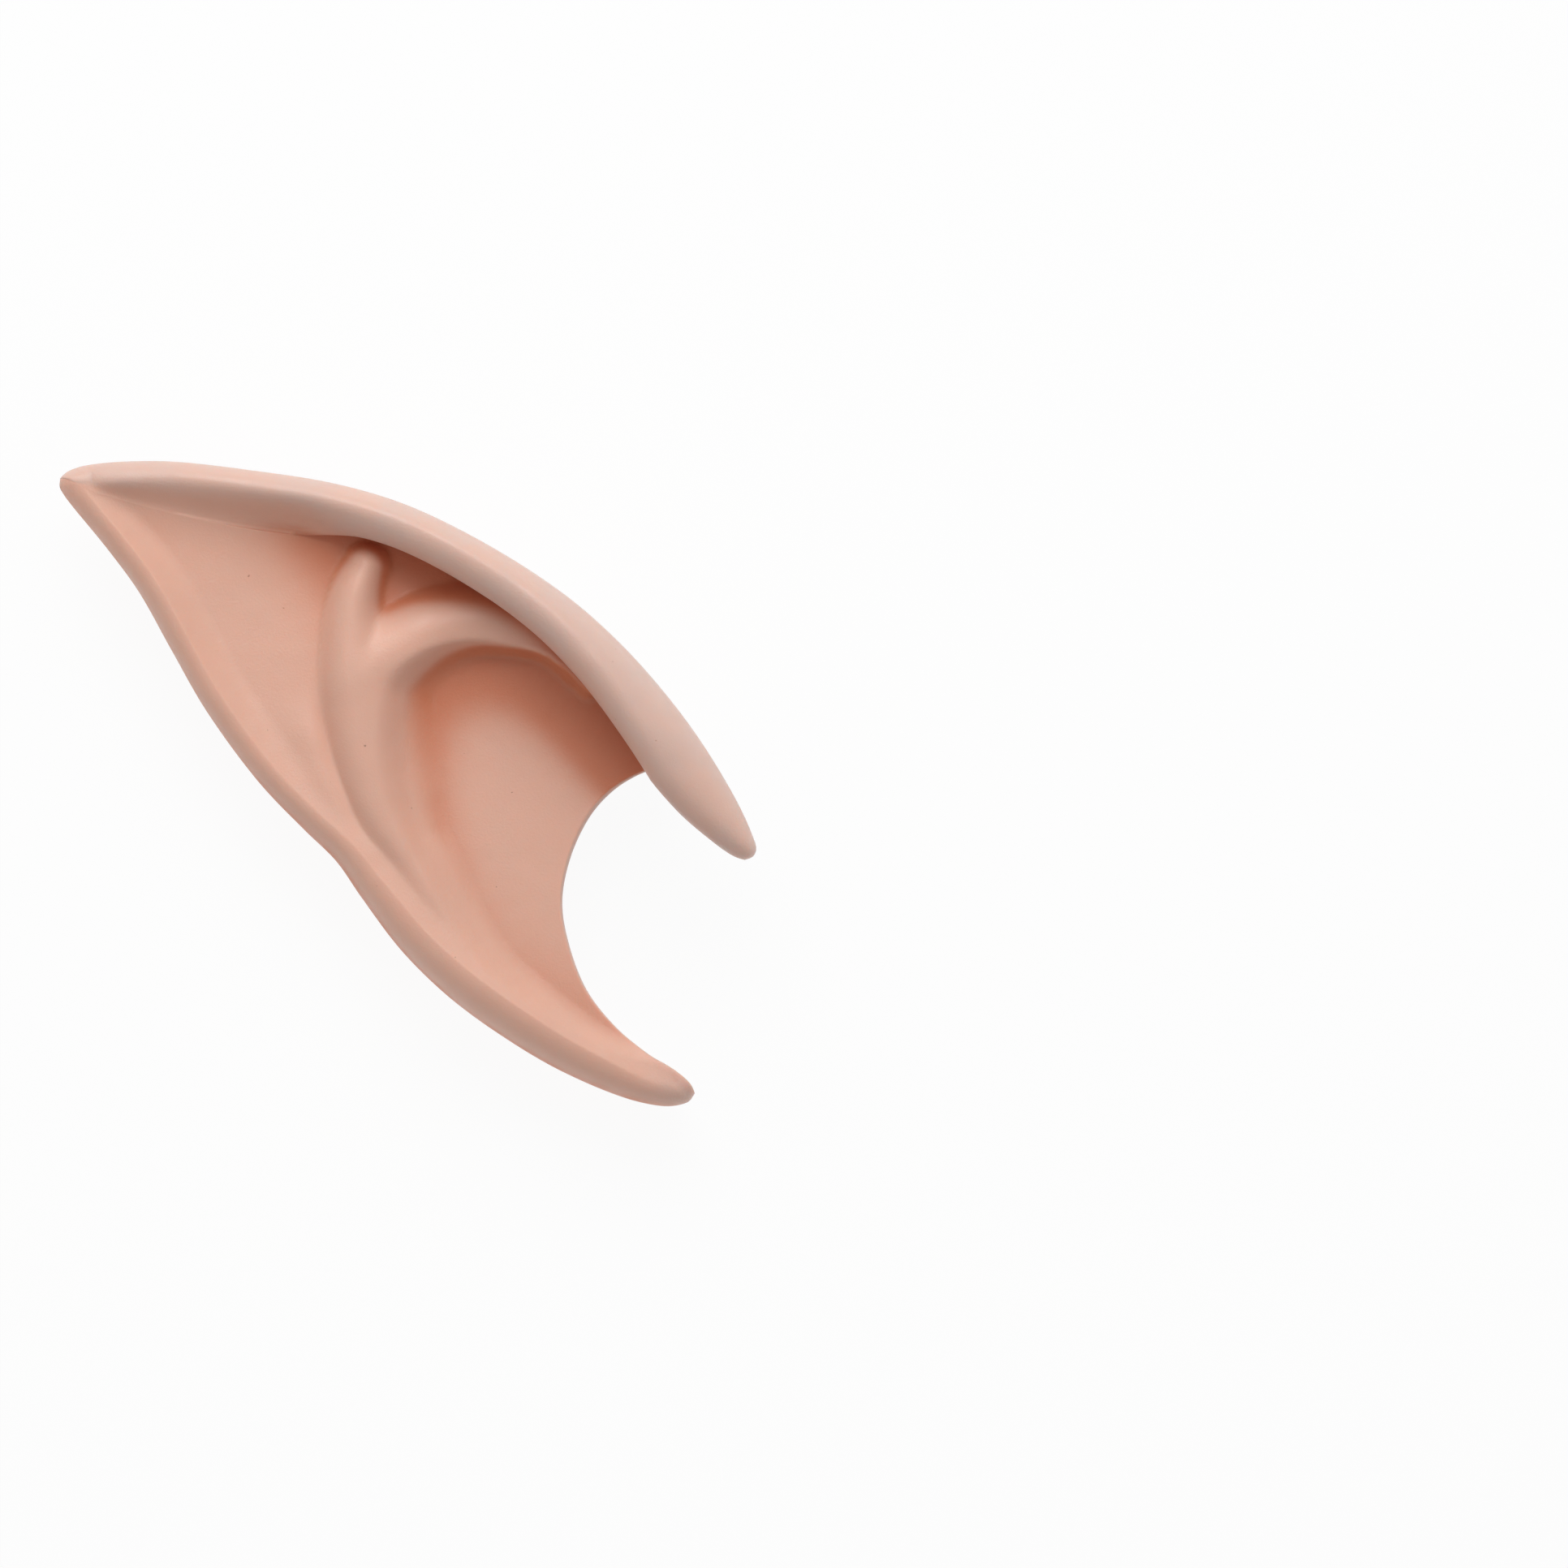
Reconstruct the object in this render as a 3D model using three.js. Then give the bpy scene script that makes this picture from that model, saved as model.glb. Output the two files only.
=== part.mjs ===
// One latex elf ear, as worn on the right side of the head: a single moulded skin of even
// thickness that slips over the top of a real ear.
// Millimetres. +X points forward to the face, +Y up and +Z out from the head. The ear lies on its
// back, so z = 0 is the surface that it rests on, and the origin is the bottom centre of its box.
import * as THREE from "three";

// Driving dimensions.
const length = 120; // pointed tip to lobe end, along the ear
const width = 51; // across the ear at its widest
const depth = 26; // resting surface to the crown of the helix band
const wall = 1.5; // latex skin
const backTurn = 9.5; // how far in from its rims the back skin rounds over
const lean = 44; // degrees that the long axis falls below the horizontal, as worn
const undercut = 1.8; // how far the helix band's lip overhangs the hollow behind it
const noseReach = 21; // solid latex in the pointed tip, before the pocket starts
const prongReach = 7; // solid latex in the lobe end, before the pocket starts

// How finely the skin is divided.
const rowCount = 52;
const spikeRowCount = 9;
const rollColumns = 5;
const floorColumns = 28;
const lipColumns = 3;
const crownColumns = 7;
const backColumns = 12;

// Outline of the ear seen from outside, in shares of length along and of width across. The back rim
// runs from the pointed tip round the lobe end, the front rim from the pointed tip to the front
// spike's point, and the spike's nose from the notch to that same point.
const backRim = [
  { along: -0.0038, across: 0.009 },
  { along: 0.0026, across: -0.008 },
  { along: 0.011, across: -0.015 },
  { along: 0.027, across: -0.0215 },
  { along: 0.055, across: -0.029 },
  { along: 0.092, across: -0.0395 },
  { along: 0.15, across: -0.063 },
  { along: 0.225, across: -0.116 },
  { along: 0.3, across: -0.167 },
  { along: 0.4, across: -0.207 },
  { along: 0.475, across: -0.214 },
  { along: 0.525, across: -0.215 },
  { along: 0.575, across: -0.238 },
  { along: 0.65, across: -0.266 },
  { along: 0.725, across: -0.267 },
  { along: 0.8, across: -0.243 },
  { along: 0.875, across: -0.201 },
  { along: 0.953, across: -0.129 },
  { along: 0.989, across: -0.074 },
  { along: 1, across: -0.043 },
  { along: 1.0045, across: -0.02 },
  { along: 1.0035, across: -0.004 },
];
const frontRim = [
  { along: -0.0038, across: 0.009 },
  { along: -0.0041, across: 0.021 },
  { along: -0.0027, across: 0.039 },
  { along: 0.0028, across: 0.067 },
  { along: 0.0148, across: 0.106 },
  { along: 0.035, across: 0.16 },
  { along: 0.075, across: 0.251 },
  { along: 0.15, across: 0.387 },
  { along: 0.225, across: 0.51 },
  { along: 0.3, across: 0.602 },
  { along: 0.4, across: 0.678 },
  { along: 0.5, across: 0.724 },
  { along: 0.575, across: 0.734 },
  { along: 0.65, across: 0.724 },
  { along: 0.725, across: 0.697 },
  { along: 0.8, across: 0.651 },
  { along: 0.842, across: 0.614 },
  { along: 0.86, across: 0.59 },
  { along: 0.863, across: 0.57 },
  { along: 0.859, across: 0.548 },
];
const spikeNose = [
  { along: 0.716, across: 0.527 },
  { along: 0.745, across: 0.519 },
  { along: 0.775, across: 0.516 },
  { along: 0.809, across: 0.521 },
  { along: 0.837, across: 0.529 },
  { along: 0.85, across: 0.537 },
  { along: 0.859, across: 0.548 },
];
// Edge of the ear-canal notch, from the lobe end to the helix band: the front skin's, then the
// back skin's, which stops sooner because the real ear joins the head there.
const frontMouth = [
  { along: 0.994, across: 0.0065 },
  { along: 0.98, across: 0.0085 },
  { along: 0.963, across: 0.003 },
  { along: 0.937, across: -0.01 },
  { along: 0.882, across: -0.018 },
  { along: 0.83, across: -0.001 },
  { along: 0.776, across: 0.058 },
  { along: 0.739, across: 0.125 },
  { along: 0.71, across: 0.228 },
  { along: 0.6935, across: 0.341 },
  { along: 0.692, across: 0.429 },
  { along: 0.699, across: 0.5 },
];
const backMouth = [
  { along: 0.975, across: -0.005 },
  { along: 0.93, across: -0.033 },
  { along: 0.875, across: -0.052 },
  { along: 0.818, across: -0.04 },
  { along: 0.76, across: 0.02 },
  { along: 0.72, across: 0.1 },
  { along: 0.692, across: 0.21 },
  { along: 0.674, across: 0.34 },
  { along: 0.676, across: 0.45 },
  { along: 0.692, across: 0.55 },
  { along: 0.715, across: 0.63 },
];

// Cross-sections of the rolled back rim, at shares of its length. Heights are shares of depth,
// distances from the outline shares of width.
const backRoll = [
  { at: 0, edge: 0.46, crest: 0.55, crestIn: 0.05, footIn: 0.08 },
  { at: 0.012, edge: 0.44, crest: 0.55, crestIn: 0.052, footIn: 0.09 },
  { at: 0.05, edge: 0.42, crest: 0.55, crestIn: 0.053, footIn: 0.12 },
  { at: 0.15, edge: 0.4, crest: 0.54, crestIn: 0.055, footIn: 0.14 },
  { at: 0.35, edge: 0.4, crest: 0.54, crestIn: 0.056, footIn: 0.14 },
  { at: 0.5, edge: 0.39, crest: 0.56, crestIn: 0.062, footIn: 0.14 },
  { at: 0.6, edge: 0.38, crest: 0.585, crestIn: 0.08, footIn: 0.16 },
  { at: 0.75, edge: 0.38, crest: 0.61, crestIn: 0.09, footIn: 0.18 },
  { at: 0.88, edge: 0.38, crest: 0.57, crestIn: 0.08, footIn: 0.15 },
  { at: 0.95, edge: 0.38, crest: 0.51, crestIn: 0.06, footIn: 0.11 },
  { at: 1, edge: 0.39, crest: 0.45, crestIn: 0.04, footIn: 0.07 },
];

// Cross-sections of the helix band, at shares of the front rim's length. Band is its breadth and a
// share of width, heights are shares of depth, crest is where its top lies as a share of the band
// from the lip, overhang is a share of the undercut, and sharp is how sharp its lip is: at 0 its
// side runs softly into the floor.
const helix = [
  { at: 0, band: 0, edge: 0.46, crown: 0.46, lip: 0.46, crest: 0.1, overhang: 0, sharp: 0 },
  { at: 0.012, band: 0.035, edge: 0.45, crown: 0.5, lip: 0.5, crest: 0.15, overhang: 0, sharp: 0 },
  { at: 0.05, band: 0.085, edge: 0.45, crown: 0.56, lip: 0.5, crest: 0.45, overhang: 0, sharp: 0 },
  { at: 0.14, band: 0.14, edge: 0.46, crown: 0.6, lip: 0.5, crest: 0.66, overhang: 0, sharp: 0 },
  { at: 0.28, band: 0.155, edge: 0.5, crown: 0.68, lip: 0.55, crest: 0.7, overhang: 0, sharp: 0 },
  { at: 0.37, band: 0.122, edge: 0.53, crown: 0.77, lip: 0.63, crest: 0.6, overhang: 0.3, sharp: 0.8 },
  { at: 0.54, band: 0.124, edge: 0.58, crown: 0.9, lip: 0.71, crest: 0.55, overhang: 0.7, sharp: 1 },
  { at: 0.68, band: 0.144, edge: 0.62, crown: 0.98, lip: 0.77, crest: 0.45, overhang: 0.9, sharp: 1 },
  { at: 0.79, band: 0.164, edge: 0.65, crown: 1, lip: 0.8, crest: 0.38, overhang: 1, sharp: 1 },
  { at: 0.86, band: 0.168, edge: 0.68, crown: 0.97, lip: 0.8, crest: 0.38, overhang: 0.8, sharp: 1 },
  { at: 0.915, band: 0.145, edge: 0.7, crown: 0.93, lip: 0.79, crest: 0.42, overhang: 0.4, sharp: 1 },
  { at: 0.965, band: 0.105, edge: 0.73, crown: 0.88, lip: 0.77, crest: 0.5, overhang: 0, sharp: 1 },
  { at: 0.985, band: 0.075, edge: 0.74, crown: 0.84, lip: 0.765, crest: 0.5, overhang: 0, sharp: 1 },
  { at: 0.995, band: 0.045, edge: 0.75, crown: 0.8, lip: 0.76, crest: 0.5, overhang: 0, sharp: 1 },
  { at: 1, band: 0, edge: 0.76, crown: 0.76, lip: 0.76, crest: 0.5, overhang: 0, sharp: 1 },
];

// Floor of the hollow inside the rims, at shares of the way from tip to notch: its height at the
// back roll, midway and at the helix band, and the height of the back of the ear.
const floor = [
  { at: 0, left: 0.55, middle: 0.55, right: 0.55, bottom: 0.46 },
  { at: 0.015, left: 0.55, middle: 0.55, right: 0.55, bottom: 0.4 },
  { at: 0.04, left: 0.54, middle: 0.54, right: 0.54, bottom: 0.36 },
  { at: 0.07, left: 0.52, middle: 0.51, right: 0.51, bottom: 0.31 },
  { at: 0.12, left: 0.505, middle: 0.475, right: 0.48, bottom: 0.24 },
  { at: 0.25, left: 0.495, middle: 0.45, right: 0.445, bottom: 0.12 },
  { at: 0.4, left: 0.5, middle: 0.445, right: 0.4, bottom: 0.03 },
  { at: 0.5, left: 0.51, middle: 0.47, right: 0.375, bottom: 0 },
  { at: 0.6, left: 0.52, middle: 0.5, right: 0.38, bottom: 0 },
  { at: 0.7, left: 0.53, middle: 0.52, right: 0.4, bottom: 0 },
  { at: 0.85, left: 0.545, middle: 0.52, right: 0.43, bottom: 0 },
  { at: 1, left: 0.5, middle: 0.5, right: 0.44, bottom: 0.05 },
];
// The concha's own floor, in the same way.
const bowl = [
  { at: 0, left: 0.4, middle: 0.4, right: 0.4 },
  { at: 0.015, left: 0.4, middle: 0.4, right: 0.4 },
  { at: 0.04, left: 0.4, middle: 0.4, right: 0.4 },
  { at: 0.07, left: 0.4, middle: 0.4, right: 0.4 },
  { at: 0.12, left: 0.4, middle: 0.4, right: 0.4 },
  { at: 0.25, left: 0.4, middle: 0.4, right: 0.4 },
  { at: 0.4, left: 0.4, middle: 0.37, right: 0.36 },
  { at: 0.5, left: 0.4, middle: 0.35, right: 0.33 },
  { at: 0.6, left: 0.42, middle: 0.35, right: 0.33 },
  { at: 0.7, left: 0.45, middle: 0.36, right: 0.34 },
  { at: 0.85, left: 0.5, middle: 0.41, right: 0.37 },
  { at: 1, left: 0.47, middle: 0.44, right: 0.4 },
];

// Ribs that rise from the floor. Crest is the height of a rib's back as a share of depth. Back and
// face are how far out, as shares of width, it has fallen by the rib drop on the side of the back
// rim and on the side of the face.
const antihelix = [
  { along: 0.316, across: 0.41, crest: 0.55, back: 0.06, face: 0.06 },
  { along: 0.325, across: 0.357, crest: 0.57, back: 0.065, face: 0.065 },
  { along: 0.341, across: 0.294, crest: 0.58, back: 0.07, face: 0.075 },
  { along: 0.365, across: 0.227, crest: 0.59, back: 0.075, face: 0.095 },
  { along: 0.393, across: 0.161, crest: 0.6, back: 0.08, face: 0.13 },
  { along: 0.421, across: 0.11, crest: 0.6, back: 0.085, face: 0.15 },
  { along: 0.473, across: 0.02, crest: 0.595, back: 0.085, face: 0.14 },
  { along: 0.528, across: -0.046, crest: 0.585, back: 0.085, face: 0.12 },
  { along: 0.561, across: -0.068, crest: 0.575, back: 0.08, face: 0.11 },
  { along: 0.592, across: -0.087, crest: 0.56, back: 0.08, face: 0.1 },
  { along: 0.636, across: -0.108, crest: 0.55, back: 0.08, face: 0.1 },
  { along: 0.695, across: -0.126, crest: 0.53, back: 0.09, face: 0.1 },
];
const lowerCrus = [
  { along: 0.401, across: 0.204, crest: 0.58, back: 0.12, face: 0.12 },
  { along: 0.405, across: 0.267, crest: 0.58, back: 0.12, face: 0.115 },
  { along: 0.412, across: 0.328, crest: 0.575, back: 0.125, face: 0.11 },
  { along: 0.421, across: 0.4, crest: 0.57, back: 0.125, face: 0.105 },
  { along: 0.436, across: 0.464, crest: 0.56, back: 0.125, face: 0.1 },
  { along: 0.456, across: 0.517, crest: 0.555, back: 0.125, face: 0.1 },
  { along: 0.482, across: 0.55, crest: 0.55, back: 0.125, face: 0.1 },
  { along: 0.512, across: 0.569, crest: 0.54, back: 0.125, face: 0.1 },
  { along: 0.554, across: 0.576, crest: 0.52, back: 0.125, face: 0.1 },
  { along: 0.592, across: 0.578, crest: 0.5, back: 0.125, face: 0.1 },
];
const ribDrop = 0.13; // share of depth
const ribSoftness = 1.2; // how wide the two ribs melt together
const creaseSoftness = 0.25; // how wide a rib melts into the floor

// Folds raised on the floor, or sunk in it. Height is a share of depth, the reaches to the back
// rim's side and to the face's side are shares of width, and fades are shares of the fold's length.
const folds = [
  {
    name: "crease behind the antihelix",
    height: -0.02,
    backReach: 0.06,
    faceReach: 0.035,
    fadeIn: 0.3,
    fadeOut: 0.3,
    line: [
      { along: 0.374, across: 0.118 },
      { along: 0.392, across: 0.074 },
      { along: 0.416, across: 0.025 },
      { along: 0.454, across: -0.033 },
      { along: 0.496, across: -0.064 },
      { along: 0.532, across: -0.09 },
      { along: 0.562, across: -0.101 },
    ],
  },
  {
    name: "shoulder of the scapha",
    height: 0.02,
    backReach: 0.1,
    faceReach: 0.05,
    fadeIn: 0.4,
    fadeOut: 0.4,
    line: [
      { along: 0.354, across: 0.068 },
      { along: 0.385, across: 0.011 },
      { along: 0.413, across: -0.025 },
      { along: 0.442, across: -0.059 },
      { along: 0.47, across: -0.082 },
      { along: 0.5, across: -0.095 },
      { along: 0.526, across: -0.099 },
    ],
  },
];

// Edge of the concha, from under the helix band round to the lobe end. Soft is how far the wall
// takes to reach the concha's floor, as a share of width, and crisp is how sharp its top is.
const conchaEdge = [
  { along: 0.596, across: 0.585, soft: 0.035, crisp: 1 },
  { along: 0.533, across: 0.572, soft: 0.032, crisp: 1 },
  { along: 0.491, across: 0.517, soft: 0.04, crisp: 1 },
  { along: 0.457, across: 0.453, soft: 0.065, crisp: 0.8 },
  { along: 0.433, across: 0.371, soft: 0.105, crisp: 0.5 },
  { along: 0.421, across: 0.273, soft: 0.15, crisp: 0.2 },
  { along: 0.431, across: 0.175, soft: 0.18, crisp: 0 },
  { along: 0.467, across: 0.066, soft: 0.19, crisp: 0 },
  { along: 0.52, across: -0.024, soft: 0.18, crisp: 0 },
  { along: 0.561, across: -0.061, soft: 0.15, crisp: 0 },
  { along: 0.598, across: -0.079, soft: 0.13, crisp: 0 },
  { along: 0.656, across: -0.125, soft: 0.12, crisp: 0 },
  { along: 0.737, across: -0.151, soft: 0.1, crisp: 0 },
  { along: 0.818, across: -0.124, soft: 0.08, crisp: 0 },
  { along: 0.906, across: -0.078, soft: 0.06, crisp: 0 },
  { along: 0.992, across: -0.014, soft: 0.05, crisp: 0 },
];

// Share of the front rim that lies behind the notch; the rest is the spike.
const notchShare = 0.835;
// The rows advance evenly along the front rim, and with this power along the back rim.
const backRimPower = 1.2;
// How much closer the rows are at both ends, and how late they take up the notch's curve.
const endCrowding = 0.3;
const notchPower = 1.3;
// How fast the pocket's end in the lobe gives way to the notch's open edge.
const prongPower = 8;
// The share of the band's columns on its lip's side, and how the back roll's are crowded outwards.
const crestAt = 0.45;
const rollCrowding = 1.4;
// The part of a narrow band's nose that the skin may fill.
const fullest = 0.7;
// Solid latex in the spike's point, and how the spike's rows are crowded towards it.
const spikeReach = 1.5;
const spikeCrowding = 1.7;
// How far the skin's inner side steps back at the foot of the lip's wall, as a share of it, and how
// closely it keeps to the wall in doing so.
const footSkin = 0.8;
const footPower = 4;
// How far into a row the skin's inner side still steps in from the back rim.
const skinFade = 8;
// Shortest row that the back roll's columns are spread on.
const shortestRow = 1;
// How many straight pieces stand for a rim or the concha's edge, and for a rib or a fold.
const rimPieces = 160;
const foldPieces = 60;
const curveDivisions = 600;

const { clamp, lerp, smoothstep } = THREE.MathUtils;
const smooth = (x) => smoothstep(x, 0, 1);

function place(point) {
  return new THREE.Vector3(point.along * length, point.across * width, 0);
}

function curveThrough(places) {
  const curve = new THREE.CatmullRomCurve3(places);
  curve.arcLengthDivisions = curveDivisions;
  return curve;
}

// A table of places with, for each row, the share of the curve through them at which it lies.
function withShares(rows) {
  const curve = curveThrough(rows.map(place));
  const lengths = curve.getLengths(curveDivisions);
  const last = rows.length - 1;
  const lengthAt = (i) => lengths[Math.round((i / last) * curveDivisions)];
  return rows.map((row, i) => ({ ...row, at: lengthAt(i) / lengthAt(last) }));
}

// Value of one column of a table, smoothly between its rows.
function readColumn(table, column, at) {
  let i = 0;
  while (i < table.length - 2 && at > table[i + 1].at) i++;
  const [a, b] = [table[i], table[i + 1]];
  const before = table[Math.max(i - 1, 0)];
  const after = table[Math.min(i + 2, table.length - 1)];
  const span = b.at - a.at;
  const x = clamp((at - a.at) / span, 0, 1);
  const slopeA = ((b[column] - before[column]) / (b.at - before.at)) * span;
  const slopeB = ((after[column] - a[column]) / (after.at - a.at)) * span;
  const rest = 1 - x;
  return (
    lerp(a[column], b[column], smooth(x)) +
    slopeA * x * rest * rest -
    slopeB * x * x * rest
  );
}

// Finds the nearest point on a curve, as its share of the curve, its distance and its side.
function tracer(points, pieces) {
  const samples = curveThrough(points.map(place)).getSpacedPoints(pieces);
  return (p) => {
    let best = { distance: Infinity };
    for (let i = 0; i < pieces; i++) {
      const a = samples[i];
      const [dx, dy] = [samples[i + 1].x - a.x, samples[i + 1].y - a.y];
      const [px, py] = [p.x - a.x, p.y - a.y];
      const share = clamp((px * dx + py * dy) / (dx * dx + dy * dy), 0, 1);
      const distance = Math.hypot(px - share * dx, py - share * dy);
      if (distance < best.distance) {
        const side = dx * py > dy * px ? 1 : -1;
        best = { distance, side, at: (i + share) / pieces };
      }
    }
    return best;
  };
}

const backRimCurve = curveThrough(backRim.map(place));
const frontRimCurve = curveThrough(frontRim.map(place));
const traceBackRim = tracer(backRim, rimPieces);
const traceFrontRim = tracer(frontRim, rimPieces);
const traceConcha = tracer(conchaEdge, rimPieces);
const conchaRows = withShares(conchaEdge);
const foldTracers = folds.map((fold) => ({ ...fold, trace: tracer(fold.line, foldPieces) }));
const ribs = [antihelix, lowerCrus].map((rows) => {
  return { rows: withShares(rows), trace: tracer(rows, foldPieces) };
});

// The way into the ear from a rim, level and square to the rim.
function inwardFrom(curve, at, turn) {
  const tangent = curve.getTangentAt(clamp(at, 0, 1));
  return new THREE.Vector3(-tangent.y * turn, tangent.x * turn, 0);
}

function band(at) {
  const read = (column) => readColumn(helix, column, at);
  const inward = inwardFrom(frontRimCurve, at, -1);
  const breadth = read("band") * width;
  const overhang = Math.min(read("overhang") * undercut, breadth / 2);
  const rim = frontRimCurve.getPointAt(at);
  return {
    inward,
    breadth,
    overhang,
    rim,
    nose: rim.clone().addScaledVector(inward, breadth),
    foot: rim.clone().addScaledVector(inward, breadth - overhang),
    crest: read("crest") * breadth,
    edge: read("edge") * depth,
    crown: read("crown") * depth,
    lip: read("lip") * depth,
    sharp: read("sharp"),
  };
}

// A notch edge, as how far it strays from the straight line between its ends.
function strayOf(mouth, start, end) {
  const line = curveThrough([start, ...mouth.map(place), end]);
  return (s) => line.getPointAt(s).sub(start.clone().lerp(end, s));
}

const lobeEnd = backRimCurve.getPointAt(1);
const notchBand = band(notchShare);
const frontStray = strayOf(frontMouth, lobeEnd, notchBand.foot);
const backStray = strayOf(backMouth, lobeEnd, notchBand.rim);
const spikeNoseCurve = curveThrough([notchBand.nose, ...spikeNose.map(place)]);
const prongShare = prongReach / backRimCurve.getLength();

// Where a row leaves the back rim. Inside the skin the rows stop short of the lobe end.
function backRimShare(t, inset) {
  const share = Math.pow(t, backRimPower);
  return inset ? share * (1 - prongShare) : share;
}

// Point of a row in plan: s runs from the back rim to the given front end.
function planPoint(t, s, frontEnd, stray, inset) {
  const outer = backRimCurve.getPointAt(backRimShare(t, 0));
  const p = outer.clone().lerp(frontEnd, s);
  p.addScaledVector(stray(s), Math.pow(t, notchPower));
  if (inset) {
    const share = backRimShare(t, inset);
    const shift = backRimCurve.getPointAt(share).sub(outer);
    p.addScaledVector(shift, Math.pow(1 - s, prongPower));
  }
  return p;
}

// Height of a floor's section, through its heights at the left, midway and at the right.
function across(table, t, s) {
  const [left, middle, right] = ["left", "middle", "right"].map((name) => readColumn(table, name, t));
  return left * (1 - s) * (1 - 2 * s) + middle * 4 * s * (1 - s) + right * s * (2 * s - 1);
}

function foldHeight(p, inset) {
  let height = 0;
  for (const fold of foldTracers) {
    const near = fold.trace(p);
    const outerReach = (near.side > 0 ? fold.faceReach : fold.backReach) * width;
    const reach = Math.max(outerReach - Math.sign(fold.height) * inset, outerReach / 2);
    const fade = smooth(near.at / fold.fadeIn) * smooth((1 - near.at) / fold.fadeOut);
    const profile = (1 + Math.cos(Math.PI * Math.min(near.distance / reach, 1))) / 2;
    height += fold.height * depth * fade * profile;
  }
  return height;
}

// Height of a rib's rounded back, which falls away without end on both sides.
function ribHeight(rib, p, inset) {
  const near = rib.trace(p);
  const outerReach = readColumn(rib.rows, near.side > 0 ? "face" : "back", near.at) * width;
  const reach = Math.max(outerReach - inset, outerReach / 2);
  const fallen = ribDrop * (near.distance / reach) ** 2;
  return (readColumn(rib.rows, "crest", near.at) - fallen) * depth - inset;
}

// The higher of two surfaces, with the crease between them rounded.
function higher(a, b, softness) {
  return (a + b + Math.hypot(a - b, softness)) / 2;
}

// Height of the front skin inside its rims, or of the surface that lies inset inside it.
function floorHeight(p, t, s, inset) {
  const rim = traceBackRim(p);
  const read = (column) => readColumn(backRoll, column, rim.at);
  const edge = read("edge") * depth;
  const crest = read("crest") * depth - inset;
  const crestIn = read("crestIn") * width;
  const footIn = read("footIn") * width;
  let height = across(floor, t, s) * depth + foldHeight(p, inset) - inset;
  const [antihelixHeight, crusHeight] = ribs.map((rib) => ribHeight(rib, p, inset));
  height = higher(height, higher(antihelixHeight, crusHeight, ribSoftness), creaseSoftness);
  const pastCrest = clamp((rim.distance - crestIn) / (footIn - crestIn), 0, 1);
  height = lerp(crest, height, Math.sin((Math.PI / 2) * pastCrest));
  const near = traceConcha(p);
  const soft = readColumn(conchaRows, "soft", near.at) * width;
  const fallen = clamp((near.distance * near.side + inset) / soft, 0, 1);
  const crisp = clamp(readColumn(conchaRows, "crisp", near.at), 0, 1);
  const inside = lerp(smooth(fallen), Math.sin((Math.PI / 2) * fallen), crisp);
  height = lerp(height, across(bowl, t, s) * depth - inset, inside);
  const fall = clamp(1 - (rim.distance - inset) / (crestIn - inset), 0, 1);
  return edge + (height - edge) * Math.sqrt(1 - fall * fall);
}

// How far along a row each floor column lies: the first ones are crowded onto the back roll.
function floorShare(column, t, rowLength) {
  const foot = readColumn(backRoll, "footIn", backRimShare(t, 0)) * width;
  const rollShare = clamp(foot / rowLength, 0, rollColumns / (rollColumns + floorColumns));
  if (column <= rollColumns) return rollShare * Math.pow(column / rollColumns, rollCrowding);
  return lerp(rollShare, 1, (column - rollColumns) / floorColumns);
}

function floorPoint(t, column, inset) {
  const front = band(notchShare * t);
  const outer = backRimCurve.getPointAt(backRimShare(t, 0));
  const rowLength = Math.max(outer.distanceTo(front.foot), shortestRow);
  const s = floorShare(column, t, rowLength);
  const p = planPoint(t, s, front.foot, frontStray, inset);
  if (inset) {
    const inward = inwardFrom(backRimCurve, backRimShare(t, inset), 1);
    p.addScaledVector(inward, inset * smooth(1 - (s * rowLength) / skinFade));
    const nearWall = smooth((column - rollColumns) / floorColumns);
    const stepBack = bandInset(front, inset) * footSkin * Math.pow(nearWall, footPower);
    p.addScaledVector(front.inward, -stepBack);
  }
  p.z = floorHeight(p, t, s, inset);
  return p;
}

function bandInset(front, inset) {
  return Math.min(inset, front.crest * fullest);
}

// The wall under the lip, from its foot (w = 0) to the nose.
function lipPoint(front, w, footHeight, inset) {
  const skin = bandInset(front, inset);
  const lean = front.overhang * (1 - w) * (1 - w);
  const p = front.nose.clone().addScaledVector(front.inward, -lean - skin * lerp(footSkin, 1, w));
  p.z = lerp(footHeight, front.lip, w);
  return p;
}

// The band's arched top, from the nose (w = 0) to the front rim.
function crownPoint(front, w, inset) {
  const skin = bandInset(front, inset);
  const top = Math.max(front.crown - skin, front.lip);
  const p = front.nose.clone();
  if (w < crestAt) {
    const up = w / crestAt;
    const angle = (Math.PI / 2) * up;
    const swing = lerp(up, 1 - Math.cos(angle), front.sharp);
    p.addScaledVector(front.inward, -skin - (front.crest - skin) * swing);
    p.z = lerp(front.lip, top, lerp(smooth(up), Math.sin(angle), front.sharp));
    return p;
  }
  const angle = ((Math.PI / 2) * (w - crestAt)) / (1 - crestAt);
  const outward = front.crest + (front.breadth - front.crest - skin) * Math.sin(angle);
  p.addScaledVector(front.inward, -outward);
  p.z = lerp(front.edge, top, Math.cos(angle));
  return p;
}

// How far the back skin has rounded over, from 0 at a rim to 1.
function turned(distance, reach) {
  const left = clamp(1 - distance / reach, 0, 1);
  return Math.sqrt(1 - left * left);
}

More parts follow.
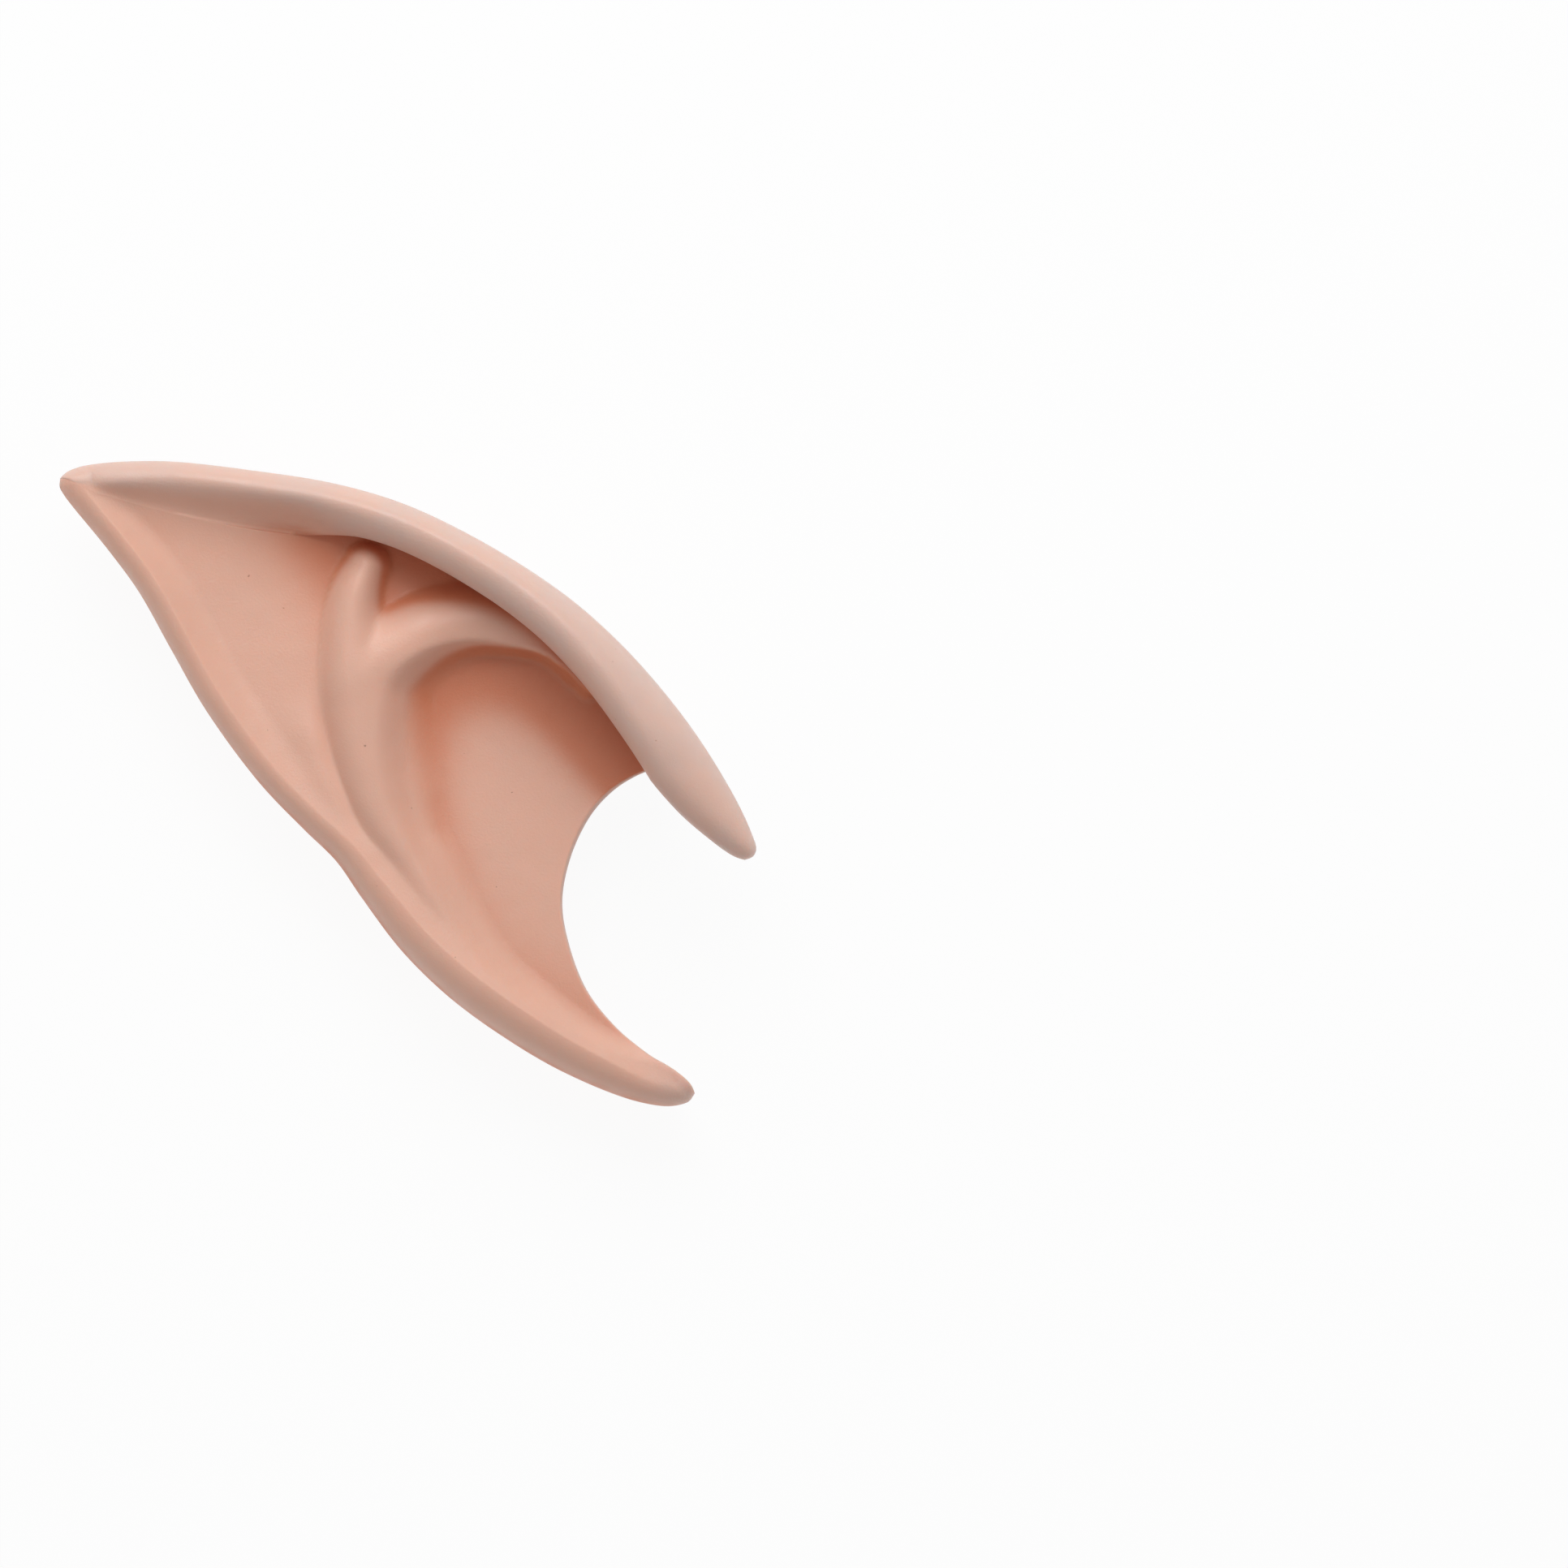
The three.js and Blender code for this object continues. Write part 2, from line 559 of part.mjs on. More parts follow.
// The back skin, from the front rim (w = 0) to the back rim.
function backPoint(t, w, inset) {
  const front = band(notchShare * t);
  const skin = bandInset(front, inset);
  const p = planPoint(t, 1 - w, front.rim, backStray, inset);
  const share = backRimShare(t, inset);
  const rim = backRimCurve.getPointAt(share);
  const reach = Math.min(backTurn, rim.distanceTo(front.rim) / 2) - inset;
  if (inset) {
    p.addScaledVector(inwardFrom(backRimCurve, share, 1), inset * w);
    p.addScaledVector(front.inward, skin * (1 - w));
  }
  const bottom = readColumn(floor, "bottom", t) * depth + inset;
  const edge = lerp(front.edge, readColumn(backRoll, "edge", share) * depth, w);
  const fromFront = turned(traceFrontRim(p).distance - skin, reach);
  const fromBack = turned(traceBackRim(p).distance - inset, reach);
  p.z = lerp(edge, bottom, fromFront * fromBack);
  return p;
}

// One closed row of the skin, from the back rim over the front and round the back.
function rowPoints(t, inset) {
  const front = band(notchShare * t);
  const points = [];
  const floorEnd = rollColumns + floorColumns;
  for (let i = 0; i <= floorEnd; i++) points.push(floorPoint(t, i, inset));
  const footHeight = points[floorEnd].z;
  front.lip = lerp(footHeight, front.lip, clamp(front.sharp, 0, 1));
  for (let i = 1; i < lipColumns; i++) {
    points.push(lipPoint(front, i / lipColumns, footHeight, inset));
  }
  for (let i = 0; i <= crownColumns; i++) points.push(crownPoint(front, i / crownColumns, inset));
  for (let i = 1; i < backColumns; i++) {
    points.push(backPoint(t, (1 - Math.cos((Math.PI * i) / backColumns)) / 2, inset));
  }
  return points;
}

// The band's section at a share x of the spike, between the spike's own two outlines.
function spikeFront(x) {
  const front = band(lerp(notchShare, 1, x));
  const crestShare = readColumn(helix, "crest", lerp(notchShare, 1, x));
  front.nose = spikeNoseCurve.getPointAt(x);
  front.inward = front.nose.clone().sub(front.rim).normalize();
  front.breadth = front.nose.distanceTo(front.rim);
  front.crest = crestShare * front.breadth;
  return front;
}

function rowAt(i) {
  const x = i / rowCount;
  return lerp(x, smooth(x), endCrowding);
}

const noseColumn = rollColumns + floorColumns + lipColumns;
const rimColumn = noseColumn + crownColumns;

// The closed body of the skin: its outer and inner surface and the strips along its open edges.
function buildShell() {
  const positions = [];
  const indices = [];
  const add = (p) => positions.push(p.x, p.y, p.z) / 3 - 1;
  const gap = (a, b) => Math.abs(positions[3 * a + 2] - positions[3 * b + 2]);
  // Cut along the more level diagonal, so that the folds stay smooth.
  function quad(a, b, c, d) {
    const triangles = gap(a, c) <= gap(b, d) ? [[a, b, c], [a, c, d]] : [[a, b, d], [b, c, d]];
    for (const corners of triangles) {
      if (new Set(corners).size === 3) indices.push(...corners);
    }
  }

  // Rows from the pointed tip to the notch. The outer ones start at one point, the inner ones with
  // the pocket's flat end.
  function tubeRows(inset) {
    const start = inset ? noseReach / (frontRimCurve.getLength() * notchShare) : 0;
    const rows = [];
    for (let i = inset ? 0 : 1; i <= rowCount; i++) {
      rows.push(rowPoints(lerp(start, 1, rowAt(i)), inset));
    }
    return rows;
  }

  // The pocket's flat end, as a strip between the upper and the lower side of its first row.
  function closePocket(points, row) {
    const chord = points[rimColumn].clone().sub(points[0]).setZ(0);
    const reach = (column) => chord.dot(points[column]);
    let upper = 0;
    let lower = row.length - 1;
    while (upper < rimColumn || lower > rimColumn + 1) {
      const upperIsNearer = upper < rimColumn && reach(upper + 1) < reach(lower - 1);
      const isUpper = upperIsNearer || lower === rimColumn + 1;
      const next = isUpper ? upper + 1 : lower - 1;
      indices.push(row[upper], row[lower], row[next]);
      if (isUpper) upper = next;
      else lower = next;
    }
  }

  // Rows of the band alone, from the notch to the point of the spike.
  function spikeRows(inset, notchRow) {
    const rows = [notchRow.slice(noseColumn, rimColumn + 1)];
    for (let i = 1; i < spikeRowCount; i++) {
      const front = spikeFront(1 - Math.pow(1 - i / spikeRowCount, spikeCrowding));
      const row = [];
      for (let c = 0; c <= crownColumns; c++) row.push(crownPoint(front, c / crownColumns, inset));
      rows.push(row.map(add));
    }
    const tip = spikeFront(1 - (inset ? spikeReach : 0) / spikeNoseCurve.getLength());
    const p = tip.rim.clone().lerp(tip.nose, 1 / 2).setZ(tip.edge);
    rows.push(new Array(crownColumns + 1).fill(add(p)));
    return rows;
  }

  function skinFaces(rows, columnPairs, out) {
    for (const [j, k] of columnPairs) {
      const [near, far] = out ? [j, k] : [k, j];
      for (let i = 0; i < rows.length - 1; i++) {
        const [a, b] = [rows[i], rows[i + 1]];
        quad(a[near], b[near], b[far], a[far]);
      }
    }
  }

  const outerPoints = tubeRows(0);
  const innerPoints = tubeRows(wall);
  const columns = innerPoints[0].length;
  const outer = outerPoints.map((row) => row.map(add));
  const inner = innerPoints.map((row) => row.map(add));
  outer.unshift(new Array(columns).fill(add(rowPoints(0, 0)[0])));
  closePocket(innerPoints[0], inner[0]);
  const outerEnd = outer.at(-1);
  const innerEnd = inner.at(-1);
  const outerSpike = spikeRows(0, outerEnd);
  const innerSpike = spikeRows(wall, innerEnd);
  const pairs = outerEnd.map((_, j) => [j, (j + 1) % columns]);
  const spikePairs = pairs.slice(0, crownColumns);
  skinFaces(outer, pairs, true);
  skinFaces(inner, pairs, false);
  skinFaces(outerSpike, spikePairs, true);
  skinFaces(innerSpike, spikePairs, false);

  // The open edge: round the notch, and along both sides of the spike.
  function edgeStrip(outerLine, innerLine) {
    for (let i = 0; i < outerLine.length - 1; i++) {
      quad(outerLine[i], innerLine[i], innerLine[i + 1], outerLine[i + 1]);
    }
  }
  const loop = (row) => [...row.slice(rimColumn), ...row.slice(0, noseColumn + 1)];
  edgeStrip(loop(outerEnd), loop(innerEnd));
  const noseSide = (rows) => rows.map((row) => row[0]);
  const rimSide = (rows) => rows.map((row) => row.at(-1)).reverse();
  edgeStrip(noseSide(outerSpike), noseSide(innerSpike));
  edgeStrip(rimSide(outerSpike), rimSide(innerSpike));

  const geometry = new THREE.BufferGeometry();
  geometry.setAttribute("position", new THREE.Float32BufferAttribute(positions, 3));
  geometry.setIndex(indices);
  return geometry;
}

// Turns the ear to its worn attitude and sets it down with its box centred on the origin.
function layDown(geometry) {
  geometry.rotateZ(THREE.MathUtils.degToRad(-lean));
  geometry.computeBoundingBox();
  const { min, max } = geometry.boundingBox;
  geometry.translate(-(min.x + max.x) / 2, -(min.y + max.y) / 2, -min.z);
  return geometry;
}

const latex = new THREE.MeshStandardMaterial({ color: 0xd3a893, roughness: 0.55, metalness: 0 });
const shell = layDown(buildShell());
shell.computeVertexNormals();

const ear = new THREE.Group();
ear.name = "elf_ear";
const mesh = new THREE.Mesh(shell, latex);
mesh.name = "ear_shell";
ear.add(mesh);

export default ear;
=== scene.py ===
"""One latex elf ear, lying on its back on a white floor, under soft daylight from above."""

import math

import bmesh
import bpy
import numpy as np
from mathutils import Color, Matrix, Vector


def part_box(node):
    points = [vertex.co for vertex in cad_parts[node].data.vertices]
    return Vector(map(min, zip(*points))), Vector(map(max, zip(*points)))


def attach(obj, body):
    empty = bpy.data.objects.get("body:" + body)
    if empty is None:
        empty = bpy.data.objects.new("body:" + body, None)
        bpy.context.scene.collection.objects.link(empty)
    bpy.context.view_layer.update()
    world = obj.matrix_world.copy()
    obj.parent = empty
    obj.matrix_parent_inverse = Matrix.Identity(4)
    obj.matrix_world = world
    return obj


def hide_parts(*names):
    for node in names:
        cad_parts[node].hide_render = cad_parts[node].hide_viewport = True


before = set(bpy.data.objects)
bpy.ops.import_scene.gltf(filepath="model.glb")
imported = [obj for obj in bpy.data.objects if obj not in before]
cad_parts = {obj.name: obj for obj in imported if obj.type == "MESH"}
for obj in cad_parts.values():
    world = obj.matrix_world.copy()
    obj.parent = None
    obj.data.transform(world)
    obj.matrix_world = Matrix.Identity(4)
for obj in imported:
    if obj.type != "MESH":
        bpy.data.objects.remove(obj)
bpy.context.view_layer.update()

MM_PER_M = 1000
TINY = 1e-6

# Sizes of the moulded ear, in millimetres, as in the solid: from tip to lobe end, across, from the
# resting surface to the helix band's crown, and the latex skin.
LENGTH = 120.0
WIDTH = 51.0
DEPTH = 26.0
WALL = 1.5
# How far in from its rims the back rounds over, and how far the helix band's lip overhangs.
BACK_TURN = 9.5
UNDERCUT = 1.8
# Solid latex before the pocket starts: in the tip, in the lobe prong and in the spike's point.
NOSE_REACH = 21.0
PRONG_REACH = 7.0
SPIKE_REACH = 1.5
# How far in from the back rim the sideways step of the inner surface fades out.
SKIN_FADE = 8.0
# How far the long axis falls below the horizontal, as worn.
LEAN_DEGREES = 44.0

# Share of the front rim that lies behind the notch. The rest of it is the spike.
NOTCH_SHARE = 0.835
# The rows advance evenly along the front rim, and with this power along the back rim.
BACK_RIM_POWER = 1.2
# How much closer the rows are at both ends, and the power with which they take up the notch's curve.
END_CROWDING = 0.3
NOTCH_POWER = 1.3
# Powers that crowd the spike's rows near its point, and the roll's columns near the back rim.
SPIKE_CROWDING = 1.7
ROLL_CROWDING = 1.4
# Powers that keep a shift of the inner surface close to the back rim, and to the helix band's foot.
PRONG_POWER = 8
FOOT_POWER = 4
# The most that the helix band's skin takes of the way from its lip to its crest, and the share of the
# skin's thickness that is there at the band's foot.
FULLEST = 0.7
FOOT_SKIN = 0.8
# Share of the crown's columns that lie between the lip and the crest.
CREST_AT = 0.45

# How finely the skin is divided.
ROWS = 205
SPIKE_ROWS = 26
ROLL_COLUMNS = 16
FLOOR_COLUMNS = 122
LIP_COLUMNS = 9
CROWN_COLUMNS = 22
BACK_COLUMNS = 34
EDGE_COLUMNS = 5
NOSE_COLUMN = ROLL_COLUMNS + FLOOR_COLUMNS + LIP_COLUMNS
RIM_COLUMN = NOSE_COLUMN + CROWN_COLUMNS
# Into how many straight pieces a rim's or a fold's curve is cut to find the nearest point on it.
RIM_PIECES = 260
FOLD_PIECES = 120

# How far an open edge bulges, as a share of a half round, and how gently its direction turns.
EDGE_BULGE = 0.5
EDGE_EASING = 6
DOWN = (0.0, 0.0, -1.0)

# Outlines in shares of the length along and of the width across.
BACK_RIM = [
    (-0.0038, 0.009), (0.0026, -0.008), (0.011, -0.015), (0.027, -0.0215), (0.055, -0.029),
    (0.092, -0.0395), (0.15, -0.063), (0.225, -0.116), (0.3, -0.167), (0.4, -0.207),
    (0.475, -0.214), (0.525, -0.215), (0.575, -0.238), (0.65, -0.266), (0.725, -0.267),
    (0.8, -0.243), (0.875, -0.201), (0.953, -0.129), (0.989, -0.074), (1, -0.043),
    (1.0045, -0.02), (1.0035, -0.004),
]
FRONT_RIM = [
    (-0.0038, 0.009), (-0.0041, 0.021), (-0.0027, 0.039), (0.0028, 0.067), (0.0148, 0.106),
    (0.035, 0.16), (0.075, 0.251), (0.15, 0.387), (0.225, 0.51), (0.3, 0.602), (0.4, 0.678),
    (0.5, 0.724), (0.575, 0.734), (0.65, 0.724), (0.725, 0.697), (0.8, 0.651), (0.842, 0.614),
    (0.86, 0.59), (0.863, 0.57), (0.859, 0.548),
]
SPIKE_NOSE = [
    (0.716, 0.527), (0.745, 0.519), (0.775, 0.516), (0.809, 0.521), (0.837, 0.529), (0.85, 0.537),
    (0.859, 0.548),
]
FRONT_MOUTH = [
    (0.994, 0.0065), (0.98, 0.0085), (0.963, 0.003), (0.937, -0.01), (0.882, -0.018),
    (0.83, -0.001), (0.776, 0.058), (0.739, 0.125), (0.71, 0.228), (0.6935, 0.341),
    (0.692, 0.429), (0.699, 0.5),
]
BACK_MOUTH = [
    (0.975, -0.005), (0.93, -0.033), (0.875, -0.052), (0.818, -0.04), (0.76, 0.02),
    (0.72, 0.1), (0.692, 0.21), (0.674, 0.34), (0.676, 0.45), (0.692, 0.55), (0.715, 0.63),
]

# Sections of the rolled back rim, at shares of its length: heights of the edge and of the crest, as
# shares of the depth, and how far in the crest and the roll's foot lie, as shares of the width.
BACK_ROLL = {
    "at": [0, 0.012, 0.05, 0.15, 0.35, 0.5, 0.6, 0.75, 0.88, 0.95, 1],
    "edge": [0.46, 0.44, 0.42, 0.4, 0.4, 0.39, 0.38, 0.38, 0.38, 0.38, 0.39],
    "crest": [0.55, 0.55, 0.55, 0.54, 0.54, 0.56, 0.585, 0.61, 0.57, 0.53, 0.5],
    "crest_in": [0.05, 0.052, 0.053, 0.055, 0.056, 0.062, 0.08, 0.09, 0.08, 0.06, 0.05],
    "foot_in": [0.08, 0.09, 0.12, 0.14, 0.14, 0.14, 0.16, 0.18, 0.15, 0.12, 0.1],
}

# Sections of the helix band, at shares of the front rim's length: its breadth, a share of the width,
# its heights, shares of the depth, where its top lies, a share of the breadth from the lip, how far it
# overhangs, a share of the undercut, and how sharp its lip is. At 0 it runs softly into the floor.
HELIX = {
    "at": [0, 0.012, 0.05, 0.14, 0.28, 0.37, 0.54, 0.68, 0.79, 0.86, 0.915, 0.965, 0.985, 0.995, 1],
    "band": [0, 0.035, 0.085, 0.14, 0.155, 0.122, 0.124, 0.144, 0.164, 0.168, 0.145, 0.105, 0.075, 0.045,
             0],
    "edge": [0.46, 0.45, 0.45, 0.46, 0.5, 0.53, 0.58, 0.62, 0.65, 0.68, 0.7, 0.73, 0.74, 0.75, 0.76],
    "crown": [0.46, 0.5, 0.56, 0.6, 0.68, 0.77, 0.9, 0.98, 1, 0.97, 0.93, 0.88, 0.84, 0.8, 0.76],
    "lip": [0.46, 0.5, 0.5, 0.5, 0.55, 0.63, 0.71, 0.77, 0.8, 0.8, 0.79, 0.77, 0.765, 0.76, 0.76],
    "crest": [0.1, 0.15, 0.45, 0.66, 0.7, 0.6, 0.55, 0.45, 0.38, 0.38, 0.42, 0.5, 0.5, 0.5, 0.5],
    "overhang": [0, 0, 0, 0, 0, 0.3, 0.7, 0.9, 1, 0.8, 0.4, 0, 0, 0, 0],
    "sharp": [0, 0, 0, 0, 0, 0.8, 1, 1, 1, 1, 1, 1, 1, 1, 1],
}

# Heights of the hollow's floor, of the concha's floor and of the back, as shares of the depth, at
# shares of the way from tip to notch.
FLOOR = {
    "at": [0, 0.015, 0.04, 0.07, 0.12, 0.25, 0.4, 0.5, 0.6, 0.7, 0.85, 1],
    "left": [0.55, 0.55, 0.54, 0.52, 0.505, 0.495, 0.5, 0.51, 0.52, 0.53, 0.545, 0.5],
    "middle": [0.55, 0.55, 0.54, 0.51, 0.475, 0.45, 0.445, 0.47, 0.5, 0.52, 0.52, 0.5],
    "right": [0.55, 0.55, 0.54, 0.51, 0.48, 0.445, 0.4, 0.375, 0.38, 0.4, 0.43, 0.44],
    "bowl_left": [0.4, 0.4, 0.4, 0.4, 0.4, 0.4, 0.4, 0.4, 0.42, 0.45, 0.5, 0.47],
    "bowl_middle": [0.4, 0.4, 0.4, 0.4, 0.4, 0.4, 0.37, 0.35, 0.35, 0.36, 0.41, 0.44],
    "bowl_right": [0.4, 0.4, 0.4, 0.4, 0.4, 0.4, 0.36, 0.33, 0.33, 0.34, 0.37, 0.4],
    "bottom": [0.46, 0.4, 0.36, 0.31, 0.24, 0.12, 0.03, 0, 0, 0, 0, 0.05],
}

# Ribs of the floor: the height of the crest, a share of the depth, and how far out each side has
# fallen by the rib drop, as shares of the width.
ANTIHELIX = {
    "line": [
        (0.316, 0.41), (0.325, 0.357), (0.341, 0.294), (0.365, 0.227), (0.393, 0.161),
        (0.421, 0.11), (0.473, 0.02), (0.528, -0.046), (0.561, -0.068), (0.592, -0.087),
        (0.636, -0.108), (0.695, -0.126),
    ],
    "crest": [0.55, 0.57, 0.58, 0.59, 0.6, 0.6, 0.595, 0.585, 0.575, 0.56, 0.55, 0.53],
    "back": [0.06, 0.065, 0.07, 0.075, 0.08, 0.085, 0.085, 0.085, 0.08, 0.08, 0.08, 0.09],
    "face": [0.06, 0.065, 0.075, 0.095, 0.13, 0.15, 0.14, 0.12, 0.11, 0.1, 0.1, 0.1],
}
LOWER_CRUS = {
    "line": [
        (0.401, 0.204), (0.405, 0.267), (0.412, 0.328), (0.421, 0.4), (0.436, 0.464), (0.456, 0.517),
        (0.482, 0.55), (0.512, 0.569), (0.554, 0.576), (0.592, 0.578),
    ],
    "crest": [0.58, 0.58, 0.575, 0.57, 0.56, 0.555, 0.55, 0.54, 0.52, 0.5],
    "back": [0.12, 0.12, 0.125, 0.125, 0.125, 0.125, 0.125, 0.125, 0.125, 0.125],
    "face": [0.12, 0.115, 0.11, 0.105, 0.1, 0.1, 0.1, 0.1, 0.1, 0.1],
}
RIB_DROP = 0.13
# How wide a rib melts into the floor, and one rib into the other, in millimetres.
CREASE_SOFTNESS = 0.25
RIB_SOFTNESS = 1.2

# Folds raised on the floor, or sunk in it: height, a share of the depth, reach to the back rim's side
# and to the face's side, shares of the width, and the share of its length that fades at each end.
FOLDS = {
    "crease": {
        "height": -0.02,
        "back": 0.06,
        "face": 0.035,
        "fade": 0.3,
        "line": [
            (0.374, 0.118), (0.392, 0.074), (0.416, 0.025), (0.454, -0.033), (0.496, -0.064),
            (0.532, -0.09), (0.562, -0.101),
        ],
    },
    "shoulder": {
        "height": 0.02,
        "back": 0.1,
        "face": 0.05,
        "fade": 0.4,
        "line": [
            (0.354, 0.068), (0.385, 0.011), (0.413, -0.025), (0.442, -0.059), (0.47, -0.082),
            (0.5, -0.095), (0.526, -0.099),
        ],
    },
}

# Edge of the concha, how far its wall takes to reach the floor, as shares of the width, and how crisp
# the wall's top is.
CONCHA = {
    "line": [
        (0.596, 0.585), (0.533, 0.572), (0.491, 0.517), (0.457, 0.453), (0.433, 0.371),
        (0.421, 0.273), (0.431, 0.175), (0.467, 0.066), (0.52, -0.024), (0.561, -0.061),
        (0.598, -0.079), (0.656, -0.125), (0.737, -0.151), (0.818, -0.124), (0.906, -0.068),
        (0.985, 0.05),
    ],
    "soft": [0.035, 0.032, 0.04, 0.065, 0.105, 0.15, 0.18, 0.19, 0.18, 0.15, 0.13, 0.12, 0.1, 0.08, 0.06,
             0.05],
    "crisp": [1, 1, 1, 0.8, 0.5, 0.2, 0, 0, 0, 0, 0, 0, 0, 0, 0, 0],
}

# How much of the hollow's colour the back roll has, the rest being the rims' painted sheen, a power for
# how late the hollow's colour gives way to that painted sheen on the helix band, and how far from the
# lobe end it is
# back in full, in millimetres: the lobe end itself is painted pale, with the same sheen as the rims.
ROLL_HOLLOW_SHARE = 0.75
HOLLOW_FADE_POWER = 2
PALE_END = 9.0

# Folds, for their painted shade, are found on a plan with cells of this size, in millimetres. Steps say
# how far round a cell its surroundings reach, and a fold has its full painted shade at this depth below
# them, in millimetres.
PLAN_CELL = 0.5
AROUND_STEPS = 500
FULL_FOLD_SHADE = 3.0

# Colours of the latex, from 0 to the full level, with a painted sheen for the rims and painted shade for
# the folds, and the most that each of three is mixed in.
FULL_LEVEL = 255
# The rims' colour is a painted sheen: their tops are made paler where the light from above falls on them.
RIM_SHEEN_COLOUR = (212, 180, 167)
HOLLOW_COLOUR = (226, 178, 157)
MOTTLE_COLOUR = (222, 178, 158)
SPECK_COLOUR = (165, 125, 108)
# The folds' colour is painted shade: an orange darkening in the folds, for the shade and the light
# bounced within the latex there.
FOLD_SHADE_COLOUR = (207, 121, 82)
MOTTLE_MIX = 0.4
SPECK_MIX = 0.7
FOLD_SHADE_MIX = 0.85

# Noises in the latex: the size in millimetres, how much finer detail they have and how rough it is.
MOTTLE = {"size": 7.0, "detail": 4, "roughness": 0.5}
SPECKS = {"size": 0.9, "detail": 1, "roughness": 0.5}
SATIN = {"size": 3.0, "detail": 3, "roughness": 0.5}
PORES = {"size": 0.35, "detail": 3, "roughness": 0.6}
WAVES = {"size": 5.0, "detail": 1, "roughness": 0.5}
# The stretch of each noise over which its effect comes up.
MOTTLE_RANGE = (0.35, 0.65)
SPECK_RANGE = (0.8, 0.84)
SATIN_RANGE = (0.3, 0.7)

# Depths of the latex's relief in millimetres, and how strongly they show.
PORE_DEPTH = 0.2
PORE_STRENGTH = 0.25
WAVE_DEPTH = 0.6
WAVE_STRENGTH = 0.2

# Gloss of the latex, and how much light passes into it and how far, in millimetres, by colour.
ROUGHNESS_RANGE = (0.38, 0.52)
SHINE = 0.5
INNER_LIGHT = 0.45
INNER_REACH = 1.2
INNER_REACH_BY_COLOUR = (1.0, 0.45, 0.3)

# The floor's side in metres, its paint and its glow, and the room's even light.
FLOOR_SIZE = 6.0
FLOOR_WHITE = 0.06
FLOOR_GLOW = 0.93
ROOM_LIGHT = 0.47
# The window: where it is and its side, in metres, and its power in watts.
WINDOW_PLACE = (0.0, 0.54, 0.5)
WINDOW_SIZE = 0.55
WINDOW_POWER = 3.9

# The view: how wide it is and where its middle lies, in metres from the ear's middle.
VIEW_WIDTH = 0.2143
VIEW_MIDDLE = (0.0514, -0.00005)
CAMERA_HEIGHT = 0.6

# Inputs and output of a mix of two colours, by number, because their names are not unique.
MIX_SHARE = 0
MIX_FIRST = 6
MIX_SECOND = 7
MIX_RESULT = 2


def lerp(a, b, x):
    return a + (b - a) * x


def smooth(x):
    """Eases from 0 to 1 as x does, and stays level beyond."""
    x = np.clip(x, 0.0, 1.0)
    return x * x * (3 - 2 * x)


def level(x):
    """One number for each point, shaped to scale the points."""
    return x[..., None]


def with_height(p, z):
    return np.concatenate([p, level(np.broadcast_to(z, p.shape[:-1]))], axis=-1)


def read_column(table, column, at):
    """One column of a table at the given shares, smoothly between its rows."""
    ats = np.asarray(table["at"], float)
    values = np.asarray(table[column], float)
    last = len(ats) - 1
    at = np.asarray(at, float)
    i = np.clip(np.searchsorted(ats, at) - 1, 0, last - 1)
    before = np.maximum(i - 1, 0)
    after = np.minimum(i + 2, last)
    span = ats[i + 1] - ats[i]
    x = np.clip((at - ats[i]) / span, 0, 1)
    slope_a = (values[i + 1] - values[before]) / (ats[i + 1] - ats[before]) * span
    slope_b = (values[after] - values[i]) / (ats[after] - ats[i]) * span
    rest = 1 - x
    return lerp(values[i], values[i + 1], smooth(x)) + slope_a * x * rest**2 - slope_b * x**2 * rest


